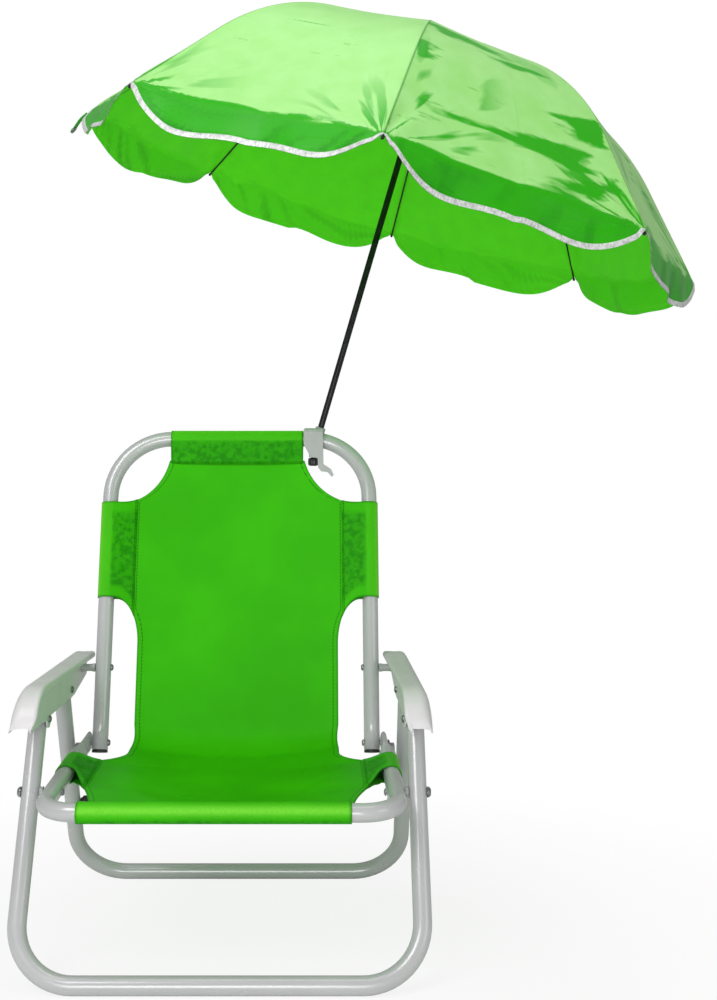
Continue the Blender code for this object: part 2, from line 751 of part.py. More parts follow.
def build_back_frame():
    """Build the back's bent tube, open at its feet."""
    corners = [
        back_point(0.0, -BACK_HALF_WIDTH),
        back_point(BACK_LENGTH, -BACK_HALF_WIDTH),
        back_point(BACK_LENGTH, BACK_HALF_WIDTH),
        back_point(0.0, BACK_HALF_WIDTH),
    ]
    path = rounded_path(corners, BACK_BEND_RADIUS, BEND_STEPS)
    mesh = bar_mesh("back_frame", path, TUBE_RADIUS, TUBE_SIDES, FACET_TILT, capped=False)
    frame = add_part("back_frame", mesh, "painted_tube", BACK_PIVOT)
    thicken(frame, TUBE_WALL, -1.0)
    holes = cross_holes([SEAT_REAR_PIVOT, ARM_BACK_PIVOT], BACK_HALF_WIDTH)
    drill(frame, "back_frame_holes", holes)


def flatten_rail_end(vert):
    """Move a point of the seat tube to its place on the flattened rear end."""
    offset = vert.co - seat_point(0.0)
    forward = seat_point(1.0) - seat_point(0.0)
    upward = seat_point(0.0, 0.0, -1.0) - seat_point(0.0)
    reach = offset.dot(forward)
    share = (reach - SEAT_RAIL_END + SEAT_FLAT_LENGTH + SEAT_FLAT_BLEND) / SEAT_FLAT_BLEND
    share = min(max(share, 0.0), 1.0)
    side = copysign(1.0, vert.co.x)
    across = abs(vert.co.x) - SEAT_HALF_WIDTH
    squeezed = 1 + (SEAT_FLAT_THICKNESS / (2 * TUBE_RADIUS) - 1) * share
    across = across * squeezed - SEAT_FLAT_SHIFT * share
    vert.co.x = side * (SEAT_HALF_WIDTH + across)
    vert.co += upward * offset.dot(upward) * (SEAT_FLAT_SPREAD_SHARE - 1) * share


def build_seat_frame():
    """Build the seat's bent tube, with its rear ends pressed flat."""
    corners = [
        seat_point(SEAT_RAIL_END, -SEAT_HALF_WIDTH),
        seat_point(0.0, -SEAT_HALF_WIDTH),
        seat_point(0.0, SEAT_HALF_WIDTH),
        seat_point(SEAT_RAIL_END, SEAT_HALF_WIDTH),
    ]
    path = rounded_path(corners, SEAT_BEND_RADIUS, BEND_STEPS)
    blends = []
    for share in (0.0, 0.5, 1.0):
        blends.append(SEAT_RAIL_END - SEAT_FLAT_LENGTH - SEAT_FLAT_BLEND * share)
    left_end = [seat_point(reach, -SEAT_HALF_WIDTH) for reach in blends]
    right_end = [seat_point(reach, SEAT_HALF_WIDTH) for reach in reversed(blends)]
    path = path[:1] + left_end + path[1:-1] + right_end + path[-1:]
    mesh = bar_mesh("seat_frame", path, TUBE_RADIUS, TUBE_SIDES, FACET_TILT, capped=False)
    for vert in mesh.vertices:
        flatten_rail_end(vert)
    frame = add_part("seat_frame", mesh, "painted_tube")
    thicken(frame, TUBE_WALL, -1.0)
    holes = cross_holes([SEAT_FRONT_PIVOT, SEAT_REAR_PIVOT], SEAT_HALF_WIDTH)
    drill(frame, "seat_frame_holes", holes)


def build_back_plugs():
    """Build the plastic plugs in the back frame's feet."""
    outline = [
        (0.0, -TOUCH_GAP - PLUG_FLANGE),
        (TUBE_RADIUS, -TOUCH_GAP - PLUG_FLANGE),
        (TUBE_RADIUS, -TOUCH_GAP),
        (PLUG_STEM_RADIUS, -TOUCH_GAP),
        (PLUG_STEM_RADIUS, PLUG_STEM_LENGTH),
        (0.0, PLUG_STEM_LENGTH),
    ]
    outline.reverse()
    upward = back_point(1.0) - back_point(0.0)
    for side, letter in SIDES:
        name = "back_plug_" + letter
        spot = facing(back_point(0.0, side * BACK_HALF_WIDTH), upward)
        plug = add_part(name, outline_mesh(name, outline, False), "black_plastic", BACK_PIVOT, spot)
        turn(plug, TUBE_SIDES)


# Pins, bolts and spacers


def build_seat_fixings(side, letter):
    """Build one side's pins between the seat and its neighbours."""
    inner_rail = SEAT_HALF_WIDTH - TUBE_RADIUS - TOUCH_GAP
    outer_rail = SEAT_HALF_WIDTH + TUBE_RADIUS + TOUCH_GAP
    outer_leg = LEG_HALF_WIDTH + TUBE_RADIUS + TOUCH_GAP
    inner_leg = LEG_HALF_WIDTH - TUBE_RADIUS - TOUCH_GAP
    inner_back = BACK_HALF_WIDTH - TUBE_RADIUS - TOUCH_GAP
    flat_outer = SEAT_HALF_WIDTH - SEAT_FLAT_SHIFT + SEAT_FLAT_THICKNESS / 2 + TOUCH_GAP
    add_pin(
        "seat_bolt_" + letter,
        "steel",
        None,
        side_point(*SEAT_FRONT_PIVOT, side * outer_leg),
        side_point(*SEAT_FRONT_PIVOT, side * inner_rail),
        BOLT_RADIUS,
        (SEAT_BOLT_HEAD_RADIUS, SEAT_BOLT_HEAD_HEIGHT),
        (BOLT_HEAD_RADIUS, BOLT_HEAD_HEIGHT),
    )
    add_ring(
        "seat_spacer_" + letter,
        "grey_plastic",
        None,
        side_point(*SEAT_FRONT_PIVOT, side * inner_leg),
        side_point(*SEAT_FRONT_PIVOT, side * outer_rail),
        BOLT_HOLE_RADIUS,
        SPACER_RADIUS,
    )
    add_pin(
        "seat_rivet_" + letter,
        "steel",
        None,
        side_point(*SEAT_REAR_PIVOT, side * flat_outer),
        side_point(*SEAT_REAR_PIVOT, side * inner_back),
        BOLT_RADIUS,
        (BOLT_HEAD_RADIUS, BOLT_HEAD_HEIGHT),
        (BOLT_HEAD_RADIUS, BOLT_HEAD_HEIGHT),
    )


def build_arm_fixings(side, letter):
    """Build one side's bolts through the armrest and the back."""
    for name, spot in (("front", ARM_FRONT_PIVOT), ("rear", ARM_REAR_PIVOT)):
        add_pin(
            f"{name}_arm_bolt_{letter}",
            "steel",
            ARM_PIVOTS[side],
            side_point(*spot, side * (ARM_OUTER_FACE + TOUCH_GAP)),
            side_point(*spot, side * (ARM_INNER_FACE - TOUCH_GAP)),
            BOLT_RADIUS,
            (BOLT_HEAD_RADIUS, BOLT_HEAD_HEIGHT),
            (BOLT_HEAD_RADIUS, BOLT_HEAD_HEIGHT),
        )
    inner_back = BACK_HALF_WIDTH - TUBE_RADIUS - TOUCH_GAP
    outer_back = BACK_HALF_WIDTH + TUBE_RADIUS + TOUCH_GAP
    spacer_end = side * (ARM_INNER_FACE - TOUCH_GAP)
    add_pin(
        "back_arm_bolt_" + letter,
        "steel",
        BACK_PIVOT,
        side_point(*ARM_BACK_PIVOT, side * inner_back),
        side_point(*ARM_BACK_PIVOT, spacer_end),
        BOLT_RADIUS,
        (BOLT_HEAD_RADIUS, BOLT_HEAD_HEIGHT),
        None,
    )
    add_ring(
        "back_spacer_" + letter,
        "grey_plastic",
        BACK_PIVOT,
        side_point(*ARM_BACK_PIVOT, spacer_end),
        side_point(*ARM_BACK_PIVOT, side * outer_back),
        BOLT_HOLE_RADIUS,
        BACK_SPACER_RADIUS,
    )


def build_link(side, letter):
    """Build one side's tab under the seat, link strap, and boss and bumper."""
    outer_face = TAB_INNER_FACE + TAB_THICKNESS
    middle = (TAB_INNER_FACE + outer_face) / 2
    end_angle = SEAT_ANGLE - pi / 2
    top_centre = along(TAB_FOOT, end_angle, TAB_TOP_DROP)
    top_corners = [along(top_centre, SEAT_ANGLE, TAB_HALF_WIDTH * turn) for turn in (1, -1)]
    lower_end = arc(TAB_END_RADIUS, SEAT_ANGLE + pi, SEAT_ANGLE + 2 * pi, 6, LINK_SEAT_PIVOT)
    outline = [(spot[0], spot[1] + BAR_HEIGHT) for spot in top_corners + lower_end]
    name = "link_tab_" + letter
    tab_mesh = plate_mesh(name, outline, TAB_THICKNESS, SIDE_VIEW)
    tab_mesh.transform(Matrix.Translation((side * middle, 0.0, 0.0)))
    tab = add_part(name, tab_mesh, "steel")
    link_outer = LINK_INNER_FACE + LINK_THICKNESS + TOUCH_GAP
    work = bmesh.new()
    shank_start = side_point(*LINK_SEAT_PIVOT, side * middle)
    add_cylinder(
        work, shank_start, side_point(*LINK_SEAT_PIVOT, side * (link_outer + TOUCH_GAP)), LINK_PIN_RADIUS
    )
    pin = add_guide(name + "_shank", finished(work, name + "_shank"))
    combine(tab, pin, "UNION")
    head_work = bmesh.new()
    head_start = side_point(*LINK_SEAT_PIVOT, side * link_outer)
    head_end = side_point(*LINK_SEAT_PIVOT, side * (link_outer + LINK_HEAD_HEIGHT))
    add_cylinder(head_work, head_start, head_end, LINK_HEAD_RADIUS)
    head = add_guide(name + "_head", finished(head_work, name + "_head"))
    combine(tab, head, "UNION")

    strap = slot_outline(LINK_SEAT_PIVOT, LINK_LEG_PIVOT, LINK_HALF_WIDTH)
    strap = [(depth, height + BAR_HEIGHT) for depth, height in strap]
    name = "link_strap_" + letter
    strap_mesh = plate_mesh(name, strap, LINK_THICKNESS, SIDE_VIEW)
    strap_middle = side * (LINK_INNER_FACE + LINK_THICKNESS / 2)
    strap_mesh.transform(Matrix.Translation((strap_middle, 0.0, 0.0)))
    link = add_part(name, strap_mesh, "steel", LINK_PIVOTS[side])
    hole_start = side_point(*LINK_SEAT_PIVOT, side * (LINK_INNER_FACE - CUT_OVERRUN))
    hole_end = side_point(*LINK_SEAT_PIVOT, side * (LINK_INNER_FACE + CUT_OVERRUN))
    drill(link, name + "_hole", [(hole_start, hole_end, LINK_PIN_RADIUS + BOLT_HOLE_CLEARANCE)])

    inner_leg = LEG_HALF_WIDTH - TUBE_RADIUS - TOUCH_GAP
    name = "link_leg_boss_" + letter
    boss_outline = [
        (0.0, 0.0),
        (LINK_BOSS_RADIUS, 0.0),
        (LINK_BOSS_RADIUS, link_outer - inner_leg),
        (0.0, link_outer - inner_leg),
    ]
    boss_start = side_point(*LINK_LEG_PIVOT, side * inner_leg)
    boss = add_part(
        name,
        outline_mesh(name, boss_outline, False),
        "steel",
        REAR_LEG_PIVOT,
        facing(boss_start, (side, 0.0, 0.0)),
    )
    turn(boss, PIN_SIDES)
    name = "leg_bumper_" + letter
    depth = BUMPER_THICKNESS + BUMPER_WASHER_THICKNESS
    bumper_outline = [
        (0.0, 0.0),
        (BUMPER_RADIUS - BUMPER_WASHER_STEP, 0.0),
        (BUMPER_RADIUS - BUMPER_WASHER_STEP, -BUMPER_WASHER_THICKNESS),
        (BUMPER_RADIUS, -BUMPER_WASHER_THICKNESS),
        (BUMPER_RADIUS, -depth + BUMPER_ROUND),
        (BUMPER_RADIUS - BUMPER_ROUND, -depth),
        (0.0, -depth),
    ]
    bumper = add_part(
        name,
        outline_mesh(name, bumper_outline, False),
        "black_plastic",
        REAR_LEG_PIVOT,
        facing(side_point(*BUMPER_PLACE, side * inner_leg), (side, 0.0, 0.0)),
    )
    turn(bumper, TUBE_SIDES)


# Armrests


def arm_lower_edge(depth):
    """Return the height of the armrest's lower edge at a depth."""
    rise = (depth - ARM_RISE_START_DEPTH) / (ARM_REAR_DEPTH - ARM_RISE_START_DEPTH)
    edge = ARM_LOWER_EDGE + max(rise, 0.0) * (ARM_REAR_LOWER_EDGE - ARM_LOWER_EDGE)
    for pivot_depth, pivot_height in (ARM_FRONT_PIVOT, ARM_REAR_PIVOT):
        reach = abs(depth - pivot_depth)
        if reach < ARM_LOBE_RADIUS:
            edge = min(edge, pivot_height - sqrt(ARM_LOBE_RADIUS**2 - reach**2))
    return edge


def arm_depths():
    """Return the depths of the armrest's sections, front to rear."""
    droop = ARM_CREST_DEPTH - ARM_FRONT_DEPTH
    depths = []
    for step in range(ARM_DROOP_STEPS + 1):
        depths.append(ARM_CREST_DEPTH - droop * cos(pi / 2 * step / ARM_DROOP_STEPS))
    for pivot_depth, _ in (ARM_FRONT_PIVOT, ARM_REAR_PIVOT):
        for step in range(ARM_LOBE_STEPS + 1):
            depths.append(pivot_depth - ARM_LOBE_RADIUS * cos(pi * step / ARM_LOBE_STEPS))
    depths += [ARM_RISE_START_DEPTH, (ARM_RISE_START_DEPTH + ARM_REAR_DEPTH) / 2, ARM_REAR_DEPTH]
    return depths


def arm_section(depth):
    """Return the armrest's section at a depth as (across, height) points."""
    forward = max(ARM_CREST_DEPTH - depth, 0.0) / (ARM_CREST_DEPTH - ARM_FRONT_DEPTH)
    droop = 1 - sqrt(max(1 - forward**2, 0.0))
    top = ARM_TOP_HEIGHT - droop * (ARM_TOP_HEIGHT - ARM_NOSE_HEIGHT)
    low = arm_lower_edge(depth)
    rearward = (depth - ARM_FRONT_DEPTH) / (ARM_REAR_DEPTH - ARM_FRONT_DEPTH)
    inner = ARM_TOP_INNER_FRONT + rearward * (ARM_TOP_INNER_REAR - ARM_TOP_INNER_FRONT)
    fullness = min(1.0, (top - low) / ARM_FULL_DEPTH)
    lip_drop = ARM_SECTION[0][2]
    section = [(ARM_INNER_FACE, low), (ARM_INNER_FACE, top - lip_drop * fullness)]
    for from_inner, from_outer, drop in ARM_SECTION[1:]:
        if from_outer is None:
            across = inner + from_inner
            across = ARM_INNER_FACE + (across - ARM_INNER_FACE) * fullness
        else:
            across = ARM_OUTER_FACE - from_outer
        across = min(across, ARM_OUTER_FACE)
        section.append((across, top - drop * fullness))
    section.append((ARM_OUTER_FACE, low))
    return section


def build_armrest(side, letter):
    """Build one armrest: a channel with a rolled inner lip and a drooping nose."""
    depths = arm_depths()
    columns = len(ARM_SECTION) + 1

    def locate(column, row):
        depth = depths[row]
        section = arm_section(depth)
        across, height = section[column if side > 0 else columns - column]
        return side_point(depth, height, side * across)

    name = "armrest_" + letter
    arm = add_part(
        name, sheet_mesh(name, columns, len(depths) - 1, locate), "white_plastic", ARM_PIVOTS[side]
    )
    thicken(arm, ARM_WALL, ARM_WALL_SIDE)
    middle = (ARM_INNER_FACE + ARM_OUTER_FACE) / 2
    reach = (ARM_OUTER_FACE - ARM_INNER_FACE) / 2 + CUT_OVERRUN
    holes = []
    for spot in (ARM_FRONT_PIVOT, ARM_REAR_PIVOT):
        start = side_point(*spot, side * middle - reach)
        end = side_point(*spot, side * middle + reach)
        holes.append((start, end, BOLT_HOLE_RADIUS))
    drill(arm, name + "_holes", holes)


# Sling


def notch(start, end, narrow, wide):
    """Return (distance, half width) rows of a round notch that widens."""
    rows = []
    for step in range(NOTCH_STEPS + 1):
        angle = pi / 2 * step / NOTCH_STEPS
        half_width = narrow + (wide - narrow) * (1 - cos(angle))
        rows.append((start + (end - start) * sin(angle), half_width))
    return rows


def add_sleeve(panel, name, point, start, end, across_axis, tube_across=0.0):
    """Join a sleeve round a frame tube onto a sling panel."""
    start -= SLEEVE_OVERRUN
    end += SLEEVE_OVERRUN
    if across_axis:
        low, high = point(0.0, start), point(0.0, end)
    else:
        low, high = point(start, tube_across), point(end, tube_across)
    outline = ring_outline(SLEEVE_BORE, SLEEVE_OUTER, (high - low).length, 0.0)
    matrix = facing(low, high - low, FACET_TILT)
    sleeve = turn(add_guide(name, outline_mesh(name, outline, True), matrix), TUBE_SIDES)
    combine(panel, sleeve, "UNION")


def back_rows():
    """Return the back panel's rows as (distance, left, right)."""
    lower = notch(BACK_TAPER_START, BACK_WING_START, WAIST_HALF_WIDTH, BACK_ATTACH)
    left = notch(BACK_PANEL_TOP, BACK_WING_END, -BACK_SLEEVE_LEFT, BACK_ATTACH)
    right = notch(BACK_PANEL_TOP, BACK_WING_END, BACK_SLEEVE_RIGHT, BACK_ATTACH)
    start = BACK_FOOT_TO_SEAT_PIVOT + SLING_HINGE_GAP
    rows = [(start + (BACK_TAPER_START - start) * share, WAIST_HALF_WIDTH) for share in WAIST_SHARES]
    rows += lower
    rows.append(((BACK_WING_START + BACK_WING_END) / 2, BACK_ATTACH))
    rows = [(distance, -half, half) for distance, half in rows]
    for (distance, left_half), (_, right_half) in zip(reversed(left), reversed(right)):
        rows.append((distance, -left_half, right_half))
    return rows


def build_back_sling():
    """Build the back's cloth: a panel, its top sleeve and two side sleeves."""
    rows = back_rows()

    def locate(column, row):
        distance, left, right = rows[row]
        share = column / CLOTH_COLUMNS
        across = left + (right - left) * share
        bow = 4 * share * (1 - share)
        fade = min(1.0, (BACK_LENGTH - distance) / SAG_FADE)
        return back_point(distance, across, BACK_SAG * bow * fade)

    mesh = sheet_mesh("sling_back", CLOTH_COLUMNS, len(rows) - 1, locate)
    panel = add_part("sling_back", mesh, "green_cloth", BACK_PIVOT)
    thicken(panel, CLOTH_THICKNESS, 0.0)

    def top_point(_, across):
        return back_point(BACK_LENGTH, across)

    add_sleeve(panel, "back_top_sleeve", top_point, BACK_SLEEVE_LEFT, BACK_SLEEVE_RIGHT, True)
    for side, letter in SIDES:
        name = "back_side_sleeve_" + letter
        across = side * BACK_HALF_WIDTH
        add_sleeve(panel, name, back_point, BACK_WING_START, BACK_WING_END, False, across)


def seat_rows():
    """Return the seat panel's rows as (distance, half width)."""
    front = notch(SEAT_WING_START - SEAT_NOTCH_LENGTH, SEAT_WING_START, SEAT_NOTCH_HALF_WIDTH, SEAT_ATTACH)
    rear = notch(SEAT_TAPER_END, SEAT_WING_END, WAIST_HALF_WIDTH, SEAT_ATTACH)
    end = SEAT_FRONT_OVERHANG + SEAT_LENGTH - SLING_HINGE_GAP
    rows = [(SLEEVE_MIDDLE, SEAT_NOTCH_HALF_WIDTH)]
    rows.append(((SLEEVE_MIDDLE + front[0][0]) / 2, SEAT_NOTCH_HALF_WIDTH))
    rows += front
    rows += list(reversed(rear))
    rows.append((end, WAIST_HALF_WIDTH))
    return rows


def build_seat_sling():
    """Build the seat's cloth: a panel, its front sleeve and two side sleeves."""
    rows = seat_rows()

    def locate(column, row):
        distance, half_width = rows[row]
        share = column / CLOTH_COLUMNS
        bow = 4 * share * (1 - share)
        fade = min(1.0, distance / SAG_FADE)
        return seat_point(distance, half_width * (1 - 2 * share), SEAT_SAG * bow * fade)

    mesh = sheet_mesh("sling_seat", CLOTH_COLUMNS, len(rows) - 1, locate)
    panel = add_part("sling_seat", mesh, "green_cloth")
    thicken(panel, CLOTH_THICKNESS, 0.0)
    half = SEAT_SLEEVE_HALF_WIDTH
    add_sleeve(panel, "seat_front_sleeve", seat_point, -half, half, True)
    for side, letter in SIDES:
        name = "seat_side_sleeve_" + letter
        across = side * SEAT_HALF_WIDTH
        add_sleeve(panel, name, seat_point, SEAT_WING_START, SEAT_WING_END, False, across)


# Clamp on the back's top tube


def build_clamp_body():
    """Build the clamp's hook, narrowed to its front outline."""
    bore = TUBE_RADIUS + CLAMP_BORE_CLEARANCE
    outer = bore + CLAMP_WALL
    top = bore + CLAMP_TOP_THICKNESS
    crown = rounded_path(
        [(outer, CLAMP_LUG_BOTTOM, 0), (outer, top, 0), (-outer, top, 0), (-outer, 0, 0)],
        CLAMP_CROWN_RADIUS,
        CLAMP_CROWN_STEPS,
    )
    outline = [(point.x, point.y) for point in crown[:-1]]
    outline += [
        (-outer, CLAMP_TAIL_BOTTOM),
        (-bore, CLAMP_TAIL_BOTTOM),
        (-bore, CLAMP_FOOT_TOP - CLAMP_FOOT_THICKNESS),
        (CLAMP_FOOT_REACH, CLAMP_FOOT_TOP - CLAMP_FOOT_THICKNESS),
        (CLAMP_FOOT_REACH, CLAMP_FOOT_TOP),
        (-bore, CLAMP_FOOT_TOP),
    ]
    outline += arc(bore, pi, asin(CLAMP_LUG_BOTTOM / bore), CLAMP_BORE_STEPS)
    hook_mesh = plate_mesh("clamp_body", outline, CLAMP_PLATE_WIDTH, SIDE_VIEW)
    hook = add_part(
        "clamp_body", hook_mesh, "grey_plastic", BACK_PIVOT, Matrix.Translation(CLAMP_CENTRE_POINT)
    )
    shield_mesh = plate_mesh("clamp_shield", CLAMP_FRONT_OUTLINE, CLAMP_PLATE_WIDTH, FRONT_VIEW)
    shield = add_guide("clamp_shield", shield_mesh, Matrix.Translation(CLAMP_CENTRE_POINT))
    combine(hook, shield, "INTERSECT")
    foot_end = CLAMP_CENTRE_POINT + Vector((0.0, 0.0, CLAMP_FOOT_TOP + CUT_OVERRUN))
    foot_start = foot_end - Vector((0.0, 0.0, CLAMP_FOOT_THICKNESS + 2 * CUT_OVERRUN))
    lug_start = TILT_POINT - Vector((0.0, MAST_BASE_BEHIND_TUBE - bore + CUT_OVERRUN, 0.0))
    screw_hole = (foot_start, foot_end, SCREW_RADIUS + SCREW_HOLE_CLEARANCE)
    pin_hole = (lug_start, TILT_POINT, TILT_PIN_RADIUS + SCREW_HOLE_CLEARANCE)
    drill(hook, "clamp_holes", [screw_hole, pin_hole])


def build_clamp_screw():
    """Build the thumb screw and its lobed knob."""
    knob = []
    for step in range(KNOB_LOBES * KNOB_STEPS_PER_LOBE):
        angle = 2 * pi * step / (KNOB_LOBES * KNOB_STEPS_PER_LOBE)
        radius = KNOB_RADIUS + KNOB_LOBE_RADIUS * cos(KNOB_LOBES * angle)
        knob.append((radius * cos(angle), radius * sin(angle)))
    mesh = plate_mesh("clamp_screw", knob, KNOB_HEIGHT, Matrix.Identity(4))
    mesh.transform(Matrix.Translation((0.0, 0.0, KNOB_TOP - KNOB_HEIGHT / 2)))
    screw = add_part(
        "clamp_screw", mesh, "black_plastic", CLAMP_SCREW_PIVOT, Matrix.Translation(CLAMP_CENTRE_POINT)
    )
    work = bmesh.new()
    shank_start = CLAMP_CENTRE_POINT + Vector((0.0, 0.0, KNOB_TOP - KNOB_HEIGHT / 2))
    shank_end = CLAMP_CENTRE_POINT + Vector((0.0, 0.0, SCREW_TIP))
    add_cylinder(work, shank_start, shank_end, SCREW_RADIUS)
    combine(screw, add_guide("clamp_screw_shank", finished(work, "clamp_screw_shank")), "UNION")


def build_clamp_pad():
    """Build the pad that the thumb screw presses up against the tube."""
    bore = SCREW_RADIUS + SCREW_HOLE_CLEARANCE
    outline = [
        (0.0, PAD_TOP),
        (PAD_RADIUS - PAD_ROUND, PAD_TOP),
        (PAD_RADIUS, PAD_TOP - PAD_ROUND),
        (PAD_RADIUS, PAD_BOTTOM),
        (bore, PAD_BOTTOM),
        (bore, PAD_BOTTOM + PAD_BORE_DEPTH),
        (0.0, PAD_BOTTOM + PAD_BORE_DEPTH),
    ]
    pad = add_part(
        "clamp_pad",
        outline_mesh("clamp_pad", outline, False),
        "black_plastic",
        CLAMP_PAD_GUIDE,
        Matrix.Translation(CLAMP_CENTRE_POINT),
    )
    turn(pad, TUBE_SIDES)


# Mast and umbrella


def build_mast_socket():
    """Build the socket that holds the mast and tilts on the clamp's lug."""
    bore = MAST_RADIUS + SLIDING_CLEARANCE
    outline = [
        (0.0, SOCKET_BOTTOM + SOCKET_FLOOR),
        (bore, SOCKET_BOTTOM + SOCKET_FLOOR),
        (bore, SOCKET_TOP),
        (SOCKET_RADIUS, SOCKET_TOP),
        (SOCKET_RADIUS, SOCKET_BOTTOM),
        (0.0, SOCKET_BOTTOM),
    ]
    mesh = outline_mesh("mast_socket", outline, False)
    socket = add_part("mast_socket", mesh, "grey_plastic", MAST_PIVOT, MAST_FRAME)
    turn(socket, MAST_SIDES)
    pin_work = bmesh.new()
    pin_end = TILT_POINT - Vector((0.0, TILT_PIN_LENGTH, 0.0))
    pin_start = TILT_POINT - Vector((0.0, MAST_RADIUS + TILT_PIN_SINK, 0.0))
    add_cylinder(pin_work, pin_start, pin_end, TILT_PIN_RADIUS)
    combine(socket, add_guide("tilt_pin", finished(pin_work, "tilt_pin")), "UNION")


def build_mast():
    """Build the hollow mast, its crown, its top cap and the runner."""
    mast_bottom = SOCKET_BOTTOM + SOCKET_FLOOR + TOUCH_GAP
    mast_top = CROWN_HEIGHT + CROWN_TOP
    outline = ring_outline(MAST_RADIUS - MAST_WALL, MAST_RADIUS, mast_top, mast_bottom)
    mast = add_part("mast", outline_mesh("mast", outline, True), "black_steel", MAST_PIVOT, MAST_FRAME)
    turn(mast, MAST_SIDES)
    bore = MAST_RADIUS + SLIDING_CLEARANCE
    outline = ring_outline(bore, CROWN_RADIUS, mast_top, CROWN_HEIGHT + CROWN_BOTTOM)
    crown = add_part("crown", outline_mesh("crown", outline, True), "black_plastic", MAST_PIVOT, MAST_FRAME)
    turn(crown, MAST_SIDES)
    seat = CROWN_HEIGHT + canopy_corner(CANOPY_START)[1] + TOUCH_GAP
    cap = [
        (0.0, seat + CAP_HEIGHT),
        (CAP_RADIUS * HEAD_CROWN_SHARE, seat + CAP_HEIGHT),
        (CAP_RADIUS, seat + CAP_HEIGHT * HEAD_EDGE_SHARE),
        (CAP_RADIUS, seat),
        (CAP_STEM_RADIUS, seat),
        (CAP_STEM_RADIUS, seat - CAP_STEM_LENGTH),
        (0.0, seat - CAP_STEM_LENGTH),
    ]
    cap_mesh = outline_mesh("top_cap", cap, False)
    top_cap = add_part("top_cap", cap_mesh, "black_plastic", MAST_PIVOT, MAST_FRAME)
    turn(top_cap, MAST_SIDES)
    flange = RUNNER_FLANGE_HALF_HEIGHT
    profile = [
        (RUNNER_FLANGE_RADIUS, flange),
        (RUNNER_FLANGE_RADIUS, -flange),
        (RUNNER_BODY_RADIUS, -flange),
        (RUNNER_BODY_RADIUS, flange - RUNNER_LENGTH),
        (bore, flange - RUNNER_LENGTH),
        (bore, flange),
    ]
    spot = MAST_FRAME @ Matrix.Translation((0.0, 0.0, CROWN_HEIGHT - RUNNER_DROP))
    runner = add_part("runner", outline_mesh("runner", profile, True), "black_plastic", RUNNER_GUIDE, spot)
    turn(runner, MAST_SIDES)


def rib_slope(distance):
    """Return how steeply a rib falls at a distance from its pivot."""
    share = (distance - RIB_BEND_START) / (RIB_BEND_END - RIB_BEND_START)
    return RIB_START_SLOPE + RIB_BEND * min(max(share, 0.0), 1.0)


def rib_point(distance):
    """Return a rib's (outward, upward) place at a distance from its pivot."""
    slope = rib_slope(distance)
    before = min(distance, RIB_BEND_START)
    after = max(distance - RIB_BEND_END, 0.0)
    outward = before * cos(RIB_START_SLOPE) + after * cos(RIB_END_SLOPE)
    outward += RIB_BEND_RADIUS * (sin(slope) - sin(RIB_START_SLOPE))
    upward = RIB_BEND_RADIUS * (cos(slope) - cos(RIB_START_SLOPE))
    upward -= before * sin(RIB_START_SLOPE) + after * sin(RIB_END_SLOPE)
    return outward, upward


def rib_bend_distances():
    """Return the distances at which a rib's bend turns."""
    length = RIB_BEND_END - RIB_BEND_START
    return [RIB_BEND_START + length * step / RIB_BEND_STEPS for step in range(RIB_BEND_STEPS + 1)]


def canopy_corner(distance):
    """Return the canopy's (radius, height above the crown) over a rib."""
    slope = rib_slope(distance)
    outward, upward = rib_point(distance)
    lift = RIB_RADIUS + CANOPY_CLEARANCE + CANOPY_THICKNESS
    return CROWN_PIVOT_RADIUS + outward + lift * sin(slope), upward + lift * cos(slope)


def rib_azimuth(number):
    """Return a rib's direction round the mast; rib 1 points to the front."""
    return 3 * pi / 2 + RIB_TURN - 2 * pi * (number - 1) / RIB_COUNT


